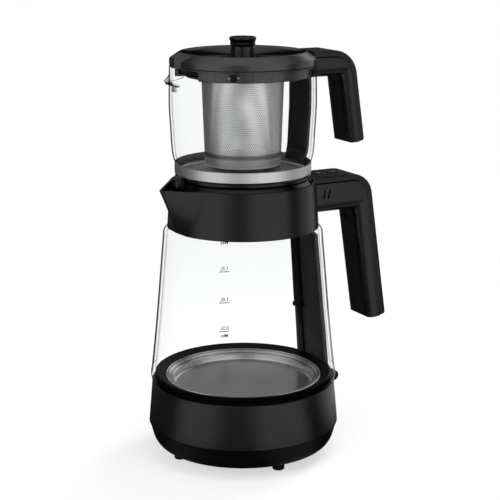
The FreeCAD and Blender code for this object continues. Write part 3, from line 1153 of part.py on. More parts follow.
def make_lid():
    rim_top = LID_BOTTOM + LID_RIM_H
    under = LID_DISH - LID_T
    plug_in = PLUG_R - PLUG_T
    crest = LID_CREST
    body = revolved((0, under), (plug_in, under), (plug_in, FLANGE_TOP - PLUG_H), (PLUG_R, FLANGE_TOP - PLUG_H),
                    (PLUG_R, LID_BOTTOM), (LID_R - 0.6, LID_BOTTOM), (LID_R, LID_BOTTOM + 0.6), (LID_R, rim_top - 0.6),
                    (LID_R - 0.8, rim_top), (LID_CREST_R + 2.0, crest - 0.9),
                    ((LID_CREST_R, crest), (LID_CREST_R - 2.5, crest - 0.3)), (LID_DISH_R, crest - 1.1),
                    (KNOB_STEM_R, LID_DISH), (0, LID_DISH))
    root = LID_CREST_R + 2.0
    side = [(-root, -BEAK_HALF_W), (-BEAK_TIP_R + 1.5, -BEAK_TIP_HALF_W), (-BEAK_TIP_R, -BEAK_TIP_HALF_W + 1.5),
            (-BEAK_TIP_R, BEAK_TIP_HALF_W - 1.5), (-BEAK_TIP_R + 1.5, BEAK_TIP_HALF_W), (-root, BEAK_HALF_W)]
    beak = plate_xy(side, LID_BOTTOM, crest)
    slope = prism_y(face_xz((-root, crest - 0.6), (-BEAK_TIP_R, crest - BEAK_TIP_DROP), (-BEAK_TIP_R - 1, crest),
                            (-root, crest + 1)), 2 * BEAK_HALF_W)
    beak = beak.cut(slope)
    top_edges = [e for e in beak.Edges if e.BoundBox.ZMin > crest - BEAK_TIP_DROP - 0.1 and e.BoundBox.XMin < -root - 0.1]
    beak = beak.makeFillet(BEAK_ROUND, top_edges)
    body = fused([body, beak])
    hole = placed(screw_hole(), V(0, 0, under), V(0, 0, -1))
    knob_bottom = LID_DISH
    head = knob_bottom + KNOB_STEM_H
    top = head + KNOB_HEAD_H
    knob = revolved((0, knob_bottom), (KNOB_STEM_R, knob_bottom), (KNOB_NECK_R, head - 2.5), (KNOB_STEM_R, head - 1.2),
                    (KNOB_HEAD_R - 0.7, head), (KNOB_HEAD_R - 1.1, head + 0.6), (KNOB_HEAD_R, top - 1.6),
                    ((KNOB_HEAD_R - 0.3, top - 0.5), (KNOB_HEAD_R - 1.5, top)), (0, top + 0.3))
    keep("teapot_lid", body.cut(hole))
    keep("lid_knob", knob.cut(hole))
    keep("knob_screw", placed(screw(), V(0, 0, under), V(0, 0, -1)))


# ================================================================ build
def build():
    make_base()
    make_gland()
    connector_r = make_connector()
    make_housing(connector_r)
    make_heater()
    make_seal()
    make_glass()
    make_kettle_handle(make_collar())
    keep("teapot_rest_ring", make_ring())
    make_spine()
    make_teapot_handle(make_pot())
    make_strainer()
    make_lid()


def export():
    os.makedirs("parts", exist_ok=True)
    for name, shape in NODES.items():
        shape.exportStep("parts/%s.step" % name)
        print("%-24s solids %d valid %s volume %.0f" % (name, len(shape.Solids), shape.isValid(), shape.Volume))


build()
export()
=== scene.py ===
# %% [markdown]
# # A tea maker in two storeys
# A glass kettle on a round power base carries a smaller glass teapot on its collar. The moulded and pressed
# pieces come ready from the frame. These cells give each of them its finish, and model what is too fine for the
# solids: the basket's perforation, the strainer's catches and the printed level marks.

import math

import bpy
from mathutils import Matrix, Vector


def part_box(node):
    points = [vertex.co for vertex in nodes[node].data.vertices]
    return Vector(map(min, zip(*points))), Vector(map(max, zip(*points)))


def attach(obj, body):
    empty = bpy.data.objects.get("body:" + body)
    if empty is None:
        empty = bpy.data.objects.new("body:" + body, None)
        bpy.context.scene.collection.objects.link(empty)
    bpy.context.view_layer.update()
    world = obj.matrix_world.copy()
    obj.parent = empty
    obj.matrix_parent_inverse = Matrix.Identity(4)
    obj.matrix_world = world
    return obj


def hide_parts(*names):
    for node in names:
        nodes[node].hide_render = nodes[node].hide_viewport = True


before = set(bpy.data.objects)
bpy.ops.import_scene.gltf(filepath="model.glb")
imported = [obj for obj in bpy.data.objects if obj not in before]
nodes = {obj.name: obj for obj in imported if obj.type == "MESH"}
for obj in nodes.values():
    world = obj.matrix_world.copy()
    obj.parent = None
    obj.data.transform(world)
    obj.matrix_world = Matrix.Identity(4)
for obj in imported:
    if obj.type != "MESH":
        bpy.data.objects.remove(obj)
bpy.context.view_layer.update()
MM = 0.001

# %% [markdown]
# ## The camera
# A long lens a good metre away keeps the sides of the two vessels nearly parallel. The camera looks down by
# about fourteen degrees, so that the heater plate and the strainer's collar both show.

# %% Place the camera
CAMERA_PLACE = (-0.5856, -1.0691, 0.4786)
CAMERA_PITCH = 13.675
CAMERA_TURN = -29.0
LENS = 103.04
SENSOR_W = 36.0
NEAREST_SEEN = 0.05


def place_camera():
    data = bpy.data.cameras.new("camera")
    data.lens = LENS
    data.sensor_width = SENSOR_W
    data.clip_start = NEAREST_SEEN
    camera = bpy.data.objects.new("camera", data)
    bpy.context.scene.collection.objects.link(camera)
    camera.location = CAMERA_PLACE
    camera.rotation_euler = (math.radians(90 - CAMERA_PITCH), 0, math.radians(CAMERA_TURN))
    bpy.context.scene.camera = camera
    return camera


print("camera:", place_camera().name)

# %% [markdown]
# ## Writing a finish as sums
# A finish is a small tree of shader nodes. Drawn by hand it soon fills a screen, so here a socket is wrapped in
# a class whose plus, minus and times add the Math nodes. A mask can then be written as `1 - edge * 0.4`.


# %% A socket that can be reckoned with
def feed(tree, socket, value):
    """Link a field into a socket, or set a plain value on it."""
    if isinstance(value, Field):
        tree.links.new(value.socket, socket)
    elif isinstance(value, (tuple, list)) and len(value) == 3 and len(socket.default_value) == 4:
        socket.default_value = (*value, 1.0)
    else:
        socket.default_value = value


def add_node(tree, kind, settings=None, output=0, sockets=None):
    """A node of some kind: its settings first, then what goes into its sockets. Gives one output as a field."""
    made = tree.nodes.new(kind)
    for name, value in (settings or {}).items():
        setattr(made, name, value)
    for slot, value in (sockets or {}).items():
        feed(tree, made.inputs[slot], value)
    return Field(tree, made.outputs[output])


def reckon(tree, operation, *values):
    return add_node(tree, "ShaderNodeMath", {"operation": operation}, sockets=dict(enumerate(values)))


class Field:
    def __init__(self, tree, socket):
        self.tree = tree
        self.socket = socket

    def math(self, operation, *others):
        return reckon(self.tree, operation, self, *others)

    def __add__(self, other):
        return self.math("ADD", other)

    def __radd__(self, other):
        return self.math("ADD", other)

    def __sub__(self, other):
        return self.math("SUBTRACT", other)

    def __rsub__(self, other):
        return reckon(self.tree, "SUBTRACT", other, self)

    def __mul__(self, other):
        return self.math("MULTIPLY", other)

    def __rmul__(self, other):
        return self.math("MULTIPLY", other)

    def __truediv__(self, other):
        return self.math("DIVIDE", other)

    def __rtruediv__(self, other):
        return reckon(self.tree, "DIVIDE", other, self)

    def between(self, low, high):
        """0 below low, 1 above high and a smooth rise between them."""
        smooth = {"interpolation_type": "SMOOTHSTEP"}
        ends = {"Value": self, "From Min": low, "From Max": high}
        return add_node(self.tree, "ShaderNodeMapRange", smooth, sockets=ends)

    def squeezed(self):
        """The same, kept from 0 to 1."""
        return self.math("MAXIMUM", 0.0).math("MINIMUM", 1.0)


def split(tree, vector):
    """The x, y and z of a vector, as three fields."""
    return [add_node(tree, "ShaderNodeSeparateXYZ", output=axis, sockets={0: vector}) for axis in "XYZ"]


def ray(tree, kind):
    """1 for rays of one kind, such as Is Camera Ray, and 0 for all others."""
    return add_node(tree, "ShaderNodeLightPath", output=kind)


print("fields reckon with:", sorted(name for name in vars(Field) if name.startswith("__r")))

# %% [markdown]
# ## One method for every other node
# Noise and shaders come from one method: the node's type, its settings, and what goes into its sockets by name.
# All patterns read Object coordinates in metres, so a scale of 1000 means a grain of about a millimetre.


# %% A finish and its nodes
class Finish:
    def __init__(self, name):
        self.material = bpy.data.materials.new(name)
        self.material.use_nodes = True
        self.tree = self.material.node_tree
        self.tree.nodes.clear()
        self.end = self.tree.nodes.new("ShaderNodeOutputMaterial")
        self.place = self.node("ShaderNodeTexCoord", output="Object")
        self.x, self.y, self.z = split(self.tree, self.place)

    def node(self, kind, settings=None, output=0, **inputs):
        sockets = {name.replace("_", " "): value for name, value in inputs.items()}
        return add_node(self.tree, kind, settings, output, sockets)

    def vector(self, x, y, z):
        return self.node("ShaderNodeCombineXYZ", X=x, Y=y, Z=z)

    def radius(self):
        return (self.x * self.x + self.y * self.y).math("SQRT")

    def azimuth(self):
        return self.y.math("ARCTAN2", self.x)

    def noise(self, scale, detail=2.0, rough=0.5, at=None):
        return self.node(
            "ShaderNodeTexNoise", Vector=at or self.place, Scale=scale, Detail=detail, Roughness=rough
        )

    def mix(self, first, second, share):
        """Mix two colours: share 0 shows the first and 1 the second."""
        sockets = {0: share, 6: first, 7: second}
        return add_node(self.tree, "ShaderNodeMix", {"data_type": "RGBA"}, 2, sockets)

    def bump(self, height, distance, strength=1.0):
        return self.node("ShaderNodeBump", Strength=strength, Distance=distance, Height=height)

    def principled(self, **inputs):
        return self.node("ShaderNodeBsdfPrincipled", **inputs)

    def blend(self, share, first, second):
        """Mix two shaders: share 0 shows the first and 1 the second."""
        return add_node(self.tree, "ShaderNodeMixShader", sockets={0: share, 1: first, 2: second})

    def show(self, shader):
        self.tree.links.new(shader.socket, self.end.inputs["Surface"])
        return self.material


print("a finish can:", ", ".join(name for name in vars(Finish) if not name.startswith("_")))

# %% [markdown]
# ## Moulded black plastics
# The tool of a plastic moulding is etched with a fine grain, which makes the surface satin and hides flow lines.
# On the plastics the grain is a bump of less than a hundredth of a millimetre, and on the rubber it is coarser.
# Wide, faint clouds change the roughness, as wiping does, so that a highlight is never quite even.

# %% Satin, matte and gloss plastic
GRAIN_SCALE = 2600.0
GRAIN_CRISP = 0.6
GRAIN_SHINE = 0.08
CLOUD_SCALE = 38.0
CLOUD_DARK = 0.82
CLOUD_PALE = 1.2


def moulded(name, colour, rough, grain, specular, cloud=0.05):
    f = Finish(name)
    fine = f.noise(GRAIN_SCALE, detail=2.0, rough=GRAIN_CRISP)
    wide = f.noise(CLOUD_SCALE, detail=3.0, rough=0.55)
    dark, pale = (tuple(c * share for c in colour) for share in (CLOUD_DARK, CLOUD_PALE))
    shine = rough + (wide - 0.5) * cloud + (fine - 0.5) * GRAIN_SHINE
    return f.show(
        f.principled(
            Base_Color=f.mix(dark, pale, wide),
            Roughness=shine.squeezed(),
            Specular_IOR_Level=specular,
            Normal=f.bump(fine, grain),
        )
    )


SATIN = moulded("satin_black_plastic", (0.0028, 0.0028, 0.0029), 0.27, 0.000003, 0.46, cloud=0.03)
MATTE = moulded("soft_black_plastic", (0.0024, 0.0024, 0.0025), 0.30, 0.000006, 0.36)
KNOB = moulded("knob_black_plastic", (0.003, 0.003, 0.0031), 0.17, 0.000002, 0.50, cloud=0.03)
GLOSS = moulded("gloss_black_plastic", (0.0012, 0.0012, 0.0013), 0.10, 0.000001, 0.40, cloud=0.03)
RUBBER = moulded("black_rubber", (0.006, 0.006, 0.006), 0.75, 0.00004, 0.2)
COLLAR_GREY = moulded("strainer_grey", (0.020, 0.020, 0.0205), 0.28, 0.000002, 0.80)
BRACKET_GREY = moulded("bracket_grey", (0.018, 0.018, 0.0185), 0.34, 0.000004, 0.50)
SILICONE = moulded("black_silicone", (0.0025, 0.0025, 0.0026), 0.48, 0.00001, 0.16)
print("plastics:", SATIN.name, MATTE.name, KNOB.name, GLOSS.name, RUBBER.name)
print("greys and seal:", COLLAR_GREY.name, BRACKET_GREY.name, SILICONE.name)

# %% [markdown]
# ## The lid's two finishes
# The lid is one moulding. Its dished top is polished, and its rim and the bevel round it are satin. Whether a
# point is polished depends only on how far it lies from the axis, so one mask on the radius does it.

# %% Lid with a polished dish
LID_POLISHED_R = 53.2 * MM
LID_SATIN_R = 53.8 * MM
LID_CLOUD_SCALE = 45.0


def lid_finish():
    f = Finish("lid_black")
    rim = f.radius().between(LID_POLISHED_R, LID_SATIN_R)
    fine = f.noise(GRAIN_SCALE, detail=2.0, rough=GRAIN_CRISP)
    wide = f.noise(LID_CLOUD_SCALE, detail=2.0)
    dish = f.principled(
        Base_Color=f.mix((0.0004, 0.0004, 0.0005), (0.0012, 0.0012, 0.0013), wide),
        Roughness=(0.07 + wide * 0.03).squeezed(),
        Specular_IOR_Level=0.5,
    )
    satin = f.principled(
        Base_Color=f.mix((0.0080, 0.0080, 0.0082), (0.0100, 0.0100, 0.0103), wide),
        Roughness=(0.24 + (wide - 0.5) * 0.03).squeezed(),
        Specular_IOR_Level=0.90,
        Normal=f.bump(fine, 0.00001),
    )
    return f.show(f.blend(rim, dish, satin))


LID = lid_finish()
print("lid:", LID.name, "polished out to", LID_POLISHED_R / MM, "mm")

# %% [markdown]
# ## Brushed steel
# The pan and the teapot's band are brushed while they turn, so their scratches are circles round the axis. A
# noise read at radius and height alone, stretched along the turn, gives such scratches. They change the roughness
# and tilt the surface a little. The shader's own Anisotropic value draws the highlight out across the scratches,
# and that is what spreads it into a fan.

# %% Band brushed round the axis
ALONG_TURN = 3.0
DRAWN_OUT = 0.3
WIPED_SCALE = 30.0
SCRATCH_DEPTH = 0.003 * MM


def turned_scratches(f, streak, detail, rough):
    """Noise that is fine across the turn and long along it."""
    around = f.vector(f.radius() * streak, f.azimuth() * ALONG_TURN, f.z * streak)
    return f.noise(1.0, detail=detail, rough=rough, at=around)


def band_steel():
    f = Finish("band_steel")
    scratch = turned_scratches(f, streak=1400.0, detail=4.0, rough=0.75)
    wide = f.noise(WIPED_SCALE, detail=2.0)
    shine = 0.42 + (scratch - 0.5) * 0.18 + (wide - 0.5) * 0.05
    return f.show(
        f.principled(
            Base_Color=f.mix((0.64, 0.64, 0.644), (0.896, 0.896, 0.9016), scratch),
            Metallic=1.0,
            Roughness=shine.squeezed(),
            Anisotropic=DRAWN_OUT,
            Normal=f.bump(scratch, SCRATCH_DEPTH),
        )
    )


BAND = band_steel()
print("band:", BAND.name)

# %% [markdown]
# ## The pan's painted lines
# Where the pan steps down, narrow bright and dark circles of light and shade show on it. They are not modelled but
# painted into the colour, the bright ones as painted highlights and the dark ones as painted shade, each a mask on
# the
# radius: 1 on its own circle, 0 a little way off.

# %% Pan with its painted lines
PAN_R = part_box("heater_pan")[1][0]
PAINTED_HIGHLIGHT_LINE = (0.95, 0.95, 0.95)
PAINTED_SHADE_LINE = (0.10, 0.10, 0.10)
# a line is full within the first share of its half width, and gone past the second
LINE_EDGE = (0.5, 1.5)
# how far in from the pan's edge a line lies, its half width and its colour: a painted highlight when bright,
# painted shade when dark
PAINTED_PAN_LINES = (
    (0.6 * MM, 0.6 * MM, PAINTED_HIGHLIGHT_LINE),
    (2.0 * MM, 0.3 * MM, PAINTED_SHADE_LINE),
    (5.0 * MM, 0.3 * MM, PAINTED_SHADE_LINE),
    (9.8 * MM, 0.4 * MM, PAINTED_SHADE_LINE),
    (8.4 * MM, 0.8 * MM, PAINTED_HIGHLIGHT_LINE),
)


def pan_steel():
    f = Finish("brushed_steel")
    scratch = turned_scratches(f, streak=900.0, detail=3.0, rough=0.6)
    wide = f.noise(WIPED_SCALE, detail=2.0)
    shade = f.mix((0.58, 0.58, 0.59), (0.66, 0.66, 0.67), scratch)
    # each line paints a circle of highlight or shade into the colour
    for inward, half, tone in PAINTED_PAN_LINES:
        off = (f.radius() - (PAN_R - inward)).math("ABSOLUTE")
        shade = f.mix(shade, tone, 1.0 - off.between(*(half * share for share in LINE_EDGE)))
    shine = 0.24 + (scratch - 0.5) * 0.08 + (wide - 0.5) * 0.04
    return f.show(
        f.principled(
            Base_Color=shade,
            Metallic=0.93,
            Roughness=shine.squeezed(),
            Anisotropic=DRAWN_OUT,
            Normal=f.bump(scratch, SCRATCH_DEPTH),
        )
    )


STEEL = pan_steel()
print("pan:", STEEL.name, "with", len(PAINTED_PAN_LINES), "lines inside", round(PAN_R / MM, 1), "mm")

# %% [markdown]
# ## Small metals
# Screws are zinc plated, the spreader is rolled aluminium, the contacts are brass and the element's tube is
# steel that has been hot. None of them is seen much, yet each has its own tint and wear. The handle's screws are
# the same zinc, painted dark as the shade they sit in.

# %% Plated, rolled and hot metals
STAIN_SCALE = 120.0
STAIN_EDGE = (0.45, 0.75)
PLATED_DEPTH = 0.01 * MM


def plain_metal(name, colour, stain, rough, grain):
    f = Finish(name)
    fine = f.noise(grain, detail=3.0, rough=0.6)
    wide = f.noise(STAIN_SCALE, detail=3.0, rough=0.6)
    return f.show(
        f.principled(
            Base_Color=f.mix(colour, stain, wide.between(*STAIN_EDGE)),
            Metallic=1.0,
            Roughness=(rough + (wide - 0.5) * 0.15).squeezed(),
            Normal=f.bump(fine, PLATED_DEPTH),
        )
    )


SCREWS = plain_metal("zinc_plate", (0.60, 0.61, 0.63), (0.46, 0.47, 0.50), 0.30, 2400.0)
# the handle's screws: the same zinc, painted dark as shade
SHADED_ZINC_SCREWS = plain_metal("zinc_painted_shade", (0.10, 0.10, 0.105), (0.05, 0.05, 0.052), 0.40, 2400.0)
ALUMINIUM = plain_metal("rolled_aluminium", (0.70, 0.71, 0.72), (0.60, 0.61, 0.62), 0.38, 1500.0)
BRASS = plain_metal("brass", (0.75, 0.56, 0.26), (0.60, 0.42, 0.18), 0.28, 1800.0)
HOT_STEEL = plain_metal("element_steel", (0.42, 0.40, 0.38), (0.26, 0.22, 0.20), 0.42, 1500.0)
print("metals:", SCREWS.name, SHADED_ZINC_SCREWS.name, ALUMINIUM.name, BRASS.name, HOT_STEEL.name)

# %% [markdown]
# ## Glass
# Both vessels are blown borosilicate glass with walls of two to three millimetres. A full refraction shader would
# bend everything behind four skins of glass, and a thin clear wall hardly does that. So a skin here lets light
# straight through with a faint tint, takes a small share of reflection that grows towards the edge, and goes dark
# where it is seen edge on, because there the line of sight runs through the wall for centimetres. The outer skin
# takes most of that dark line, and the inner one only a trace.

# %% Masks for the glass
# Layer Weight's Facing, 0 seen straight on and 1 edge on: where the dark line starts and where it is full
LIMB_FROM = 0.76
LIMB_TO = 0.87
LIMB_SHARE = 0.97
INNER_LIMB = 0.25
# the pouring lip is thick and tightly curved, so more of it is seen edge on
LIP_FROM = 61.5 * MM
LIP_LOW = 322.0 * MM
LIP_EARLIER = (0.30, 0.22)
# the teapot's floor is pressed, and catches the light
POT_FLOOR_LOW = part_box("teapot_glass")[0][2] - 1.0 * MM
POT_FLOOR_HIGH = POT_FLOOR_LOW + 5.0 * MM
POT_FLOOR_R = 52.0 * MM
POT_FLOOR_SHARE = 0.18
SIDE_SPLIT = 0.002


def lip_mask(f):
    beyond = (0.0 - f.x).between(LIP_FROM, LIP_FROM + 2.0 * MM)
    return beyond * f.z.between(LIP_LOW, LIP_LOW + 3.0 * MM)


def pot_floor_mask(f):
    above = f.z.between(POT_FLOOR_LOW, POT_FLOOR_LOW + 0.5 * MM)
    below = 1.0 - f.z.between(POT_FLOOR_HIGH, POT_FLOOR_HIGH + 1.0 * MM)
    return above * below * (1.0 - f.radius().between(POT_FLOOR_R, POT_FLOOR_R + 2.0 * MM))


def outer_skin_mask(f):
    """1 on the outer skin and 0 on the inner. The normal always faces the viewer, so Backfacing is needed too."""
    across, along, _ = split(f.tree, f.node("ShaderNodeTexCoord", output="Normal"))
    out = (across * f.x + along * f.y).between(-SIDE_SPLIT, SIDE_SPLIT)
    back = f.node("ShaderNodeNewGeometry", output="Backfacing")
    return out + back - out * back * 2.0


print("the pot's floor lies from", round(POT_FLOOR_LOW / MM, 1), "to", round(POT_FLOOR_HIGH / MM, 1), "mm")

# %% Clear glass
GLASS_TINT = (0.985, 0.988, 0.988)
MIRROR_SHARE = 0.004
MIRROR_POWER = 3.0
DEPTH_SHARE = 0.02
DEPTH_EDGE = (0.30, 0.80)
WAVE_SCALE = 14.0
WAVE_DEPTH = 0.2 * MM


def glass_finish():
    f = Finish("clear_glass")
    facing = f.node("ShaderNodeLayerWeight", output="Facing", Blend=0.5)
    wave = f.noise(WAVE_SCALE, detail=1.0)
    clear = f.node("ShaderNodeBsdfTransparent", Color=GLASS_TINT)
    gloss = f.principled(
        Base_Color=f.mix((0.70, 0.71, 0.71), (0.76, 0.77, 0.77), wave),
        Metallic=1.0,
        Roughness=0.04,
        Normal=f.bump(wave, WAVE_DEPTH, strength=0.15),
    )
    dark = f.principled(Base_Color=(0.004, 0.0045, 0.0045), Roughness=0.10, Specular_IOR_Level=0.3)
    pressed = f.principled(Base_Color=(0.80, 0.81, 0.81), Roughness=0.12, Specular_IOR_Level=0.5)
    lip, floor = lip_mask(f), pot_floor_mask(f)
    skin = f.blend(facing.between(*DEPTH_EDGE) * DEPTH_SHARE, clear, dark)
    skin = f.blend(facing.math("POWER", MIRROR_POWER) * MIRROR_SHARE, skin, gloss)
    skin = f.blend(floor * POT_FLOOR_SHARE, skin, pressed)
    limb = facing.between(LIMB_FROM - lip * LIP_EARLIER[0], LIMB_TO - lip * LIP_EARLIER[1])
    limb = limb * (outer_skin_mask(f) * (1.0 - INNER_LIMB) + INNER_LIMB)
    edged = f.blend(limb * (1.0 - floor) * LIMB_SHARE, skin, dark)
    return f.show(f.blend(ray(f.tree, "Is Shadow Ray"), edged, clear))


GLASS = glass_finish()
print("glass:", GLASS.name, "from", len(GLASS.node_tree.nodes), "nodes")

# %% [markdown]
# ## Board and light lenses
# The board is green solder mask over copper, so a noise cut at one level draws patches of track under the green.
# The lenses are smoked plastic, frosted on top with a fine grain.

# %% Board and lenses
TRACK_SCALE = 420.0
TRACK_EDGE = (0.48, 0.52)
FROST_SCALE = 3200.0


def board_finish():
    f = Finish("board_green")
    tracks = f.noise(TRACK_SCALE, detail=0.0)
    shade = f.mix((0.012, 0.075, 0.035), (0.02, 0.12, 0.055), tracks.between(*TRACK_EDGE))
    return f.show(f.principled(Base_Color=shade, Roughness=0.3 + tracks * 0.1))


def lens_finish():
    f = Finish("light_lens")
    frost = f.noise(FROST_SCALE, detail=2.0)
    shade = f.mix((0.09, 0.09, 0.093), (0.13, 0.13, 0.134), frost)
    shine = 0.35 + frost * 0.15
    return f.show(f.principled(Base_Color=shade, Roughness=shine, Normal=f.bump(frost, 0.00001)))


BOARD = board_finish()
LENS = lens_finish()
print("board and lenses:", BOARD.name, LENS.name)

# %% [markdown]
# ## Who wears what
# Every node of the frame gets its finish here by name. The frame's meshes are never touched: only their material
# slots change.

# %% Dress the nodes
WEAR = {
    SATIN: "kettle_housing collar kettle_handle_grip teapot_handle_grip power_lever steam_duct",
    COLLAR_GREY: "strainer_collar",
    MATTE: "base_shell base_plate thermostat_control bottom_cover kettle_handle_cover teapot_handle_cover",
    BRACKET_GREY: "kettle_spine teapot_bracket",
    GLOSS: "base_connector kettle_connector control_panel boil_button keep_warm_button teapot_foot_ring "
    "teapot_rest_ring",
    KNOB: "lid_knob",
    RUBBER: "foot_1 foot_2 foot_3 foot_4 cord_gland",
    SILICONE: "glass_seal",
    LID: "teapot_lid",
    STEEL: "heater_pan strainer_basket",
    BAND: "teapot_band",
    SCREWS: "base_screws bottom_screws knob_screw lever_pin",
    SHADED_ZINC_SCREWS: "kettle_handle_screws teapot_handle_screws",
    ALUMINIUM: "heat_spreader",
    BRASS: "base_contacts",
    HOT_STEEL: "heating_element",
    GLASS: "kettle_glass teapot_glass",
    BOARD: "switch_board",
    LENS: "boil_light keep_warm_light",
}


def dress(mesh, material):
    mesh.materials.clear()
    mesh.materials.append(material)


for material, names in WEAR.items():
    for name in names.split():
        dress(nodes[name].data, material)
print("dressed:", sum(len(names.split()) for names in WEAR.values()), "of", len(nodes))

# %% [markdown]
# ## Helpers for modelling
# New pieces are modelled as by hand, with operators that act on what is selected. Each helper here does one such
# step. A finished piece sits at the origin with its place in its mesh, as the frame's own nodes do.


# %% Steps that every new piece needs
def start_piece(name):
    """Name the object that was just added, and its mesh."""
    piece = bpy.context.object
    piece.name = name
    piece.data.name = name
    return piece


def settle(piece):
    """Apply place, turn and size, so that the piece sits at the origin."""
    bpy.ops.object.select_all(action="DESELECT")
    piece.select_set(True)
    bpy.context.view_layer.objects.active = piece
    bpy.ops.object.transform_apply(location=True, rotation=True, scale=True)


def modify(piece, kind, **settings):
    """Add a modifier with its settings and apply it at once."""
    bpy.context.view_layer.objects.active = piece
    made = piece.modifiers.new(kind.lower(), kind)
    for name, value in settings.items():
        setattr(made, name, value)
    bpy.ops.object.modifier_apply(modifier=made.name)


def join(pieces):
    """Make one piece of several, under the first one's name."""
    bpy.ops.object.select_all(action="DESELECT")
    for piece in pieces:
        piece.select_set(True)
    bpy.context.view_layer.objects.active = pieces[0]
    bpy.ops.object.join()
    return pieces[0]


def wear_new(piece, name, material, body):
    """Name a new piece, dress it and let it ride the body it belongs to."""
    piece.name = name
    dress(piece.data, material)
    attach(piece, body)
    print(name, len(piece.data.polygons), "faces, rides", body)


print("helpers:", start_piece.__name__, settle.__name__, modify.__name__, join.__name__, wear_new.__name__)

# %% [markdown]
# ## The basket's perforation
# The basket is rolled from sheet steel with rows of round holes, each row half a step on from the one below. Such
# a sheet is the same small cell thousands of times, so one cell is made and repeated: a six-sided frame round a
# six-sided hole. Six-sided cells fit together when every second row is half a step on. The copies are laid out by
# Array modifiers that turn round the axis, then a Taper widens the tube towards its mouth.

# %% Sizes of the basket
basket_low, basket_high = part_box("strainer_basket")
BASKET_FOOT_R = 32.8 * MM
BASKET_MOUTH_R = 35.4 * MM
BASKET_LIP_R = basket_high[0]
CELLS_ROUND = 112
CELL_W = 2 * math.pi * BASKET_FOOT_R / CELLS_ROUND
CELL_STEP = CELL_W * math.sqrt(3) / 2
BAR_W = 0.84 * MM
SHEET_T = 0.4 * MM
PLAIN_FOOT = 1.6 * MM
PLAIN_MOUTH = 2.0 * MM
SHEET_LOW = basket_low[2] + PLAIN_FOOT
SHEET_HIGH = basket_high[2] - PLAIN_MOUTH
ROW_PAIRS = round((SHEET_HIGH - SHEET_LOW) / CELL_STEP / 2)
print("cells:", CELLS_ROUND, "round,", ROW_PAIRS, "pairs of rows, each", round(CELL_W / MM, 2), "mm wide")


# %% One cell, then the whole sheet
def weld(piece, distance):
    """Merge the corners that neighbouring copies share."""
    bpy.context.view_layer.objects.active = piece
    bpy.ops.object.mode_set(mode="EDIT")
    bpy.ops.mesh.select_all(action="SELECT")
    bpy.ops.mesh.remove_doubles(threshold=distance)
    bpy.ops.mesh.normals_make_consistent(inside=False)
    bpy.ops.object.mode_set(mode="OBJECT")


def turned_copies(piece, count, turn, rise):
    """Array of copies, each turned about the axis and raised from the one before."""
    bpy.ops.object.empty_add(location=(0, 0, rise), rotation=(0, 0, turn))
    step = bpy.context.object
    modify(
        piece,
        "ARRAY",
        count=count,
        use_relative_offset=False,
        use_object_offset=True,
        offset_object=step,
    )
    bpy.data.objects.remove(step)


def one_cell():
    """A six-sided frame that stands on the foot's radius."""
    bpy.ops.object.select_all(action="DESELECT")
    bpy.ops.mesh.primitive_circle_add(
        vertices=6,
        radius=CELL_W / math.sqrt(3),
        fill_type="NGON",
        location=(0, -BASKET_FOOT_R, 0),
        rotation=(math.pi / 2, 0, 0),
    )
    cell = start_piece("basket_sheet")
    settle(cell)
    bpy.ops.object.mode_set(mode="EDIT")
    bpy.ops.mesh.select_all(action="SELECT")
    bpy.ops.mesh.inset(thickness=BAR_W / 2)
    bpy.ops.mesh.delete(type="FACE")
    bpy.ops.object.mode_set(mode="OBJECT")
    return cell


def perforated_sheet():
    sheet = one_cell()
    turned_copies(sheet, CELLS_ROUND, 2 * math.pi / CELLS_ROUND, 0.0)
    turned_copies(sheet, 2, math.pi / CELLS_ROUND, CELL_STEP)
    turned_copies(sheet, ROW_PAIRS, 0.0, 2 * CELL_STEP)
    weld(sheet, BAR_W / 4)
    wider = BASKET_MOUTH_R / BASKET_FOOT_R - 1
    modify(sheet, "SIMPLE_DEFORM", deform_method="TAPER", deform_axis="Z", factor=wider)
    modify(sheet, "SOLIDIFY", thickness=SHEET_T, offset=-1.0)
    sheet.location = (0, 0, SHEET_LOW + CELL_STEP / 2)
    settle(sheet)
    return sheet


sheet = perforated_sheet()
print("sheet:", len(sheet.data.polygons), "faces")

# %% [markdown]
# ## The basket's plain foot and mouth
# The holes stop short of both ends, where the sheet is folded in for the floor and out for the lip. A plain wall
# takes over there. It is drawn as a round outline that is extruded from station to station, each ring resized to
# its own radius.

# %% Round walls through stations
ROUND_STEPS = 96
LAP = 0.1 * MM
# steps out from the wall's radius and up from its end, in millimetres
FOOT_STEPS = ((0.0, 1.2), (-0.4, 0.4), (-1.2, 0.0))
MOUTH_STEPS = ((0.0, -0.8), (0.4, -0.3), (1.0, 0.0))


def stepped(radius, height, steps):
    return [(radius + out * MM, height + up * MM) for out, up in steps]


def round_wall(name, stations, closed=False):
    """A thin round wall through (radius, height) stations; closed fills the last ring."""
    radius, height = stations[0]
    bpy.ops.object.select_all(action="DESELECT")
    bpy.ops.mesh.primitive_circle_add(vertices=ROUND_STEPS, radius=radius, location=(0, 0, height))
    wall = start_piece(name)
    settle(wall)
    bpy.ops.object.mode_set(mode="EDIT")
    bpy.ops.mesh.select_all(action="SELECT")
    for next_radius, next_height in stations[1:]:
        bpy.ops.mesh.extrude_region_move(TRANSFORM_OT_translate={"value": (0, 0, next_height - height)})
        share = next_radius / radius
        bpy.ops.transform.resize(value=(share, share, 1), center_override=(0, 0, next_height))
        radius, height = next_radius, next_height
    if closed:
        bpy.ops.mesh.edge_face_add()
    bpy.ops.mesh.select_all(action="SELECT")
    bpy.ops.mesh.normals_make_consistent(inside=False)
    bpy.ops.object.mode_set(mode="OBJECT")
    modify(wall, "SOLIDIFY", thickness=SHEET_T + LAP, offset=-1.0)
    return wall


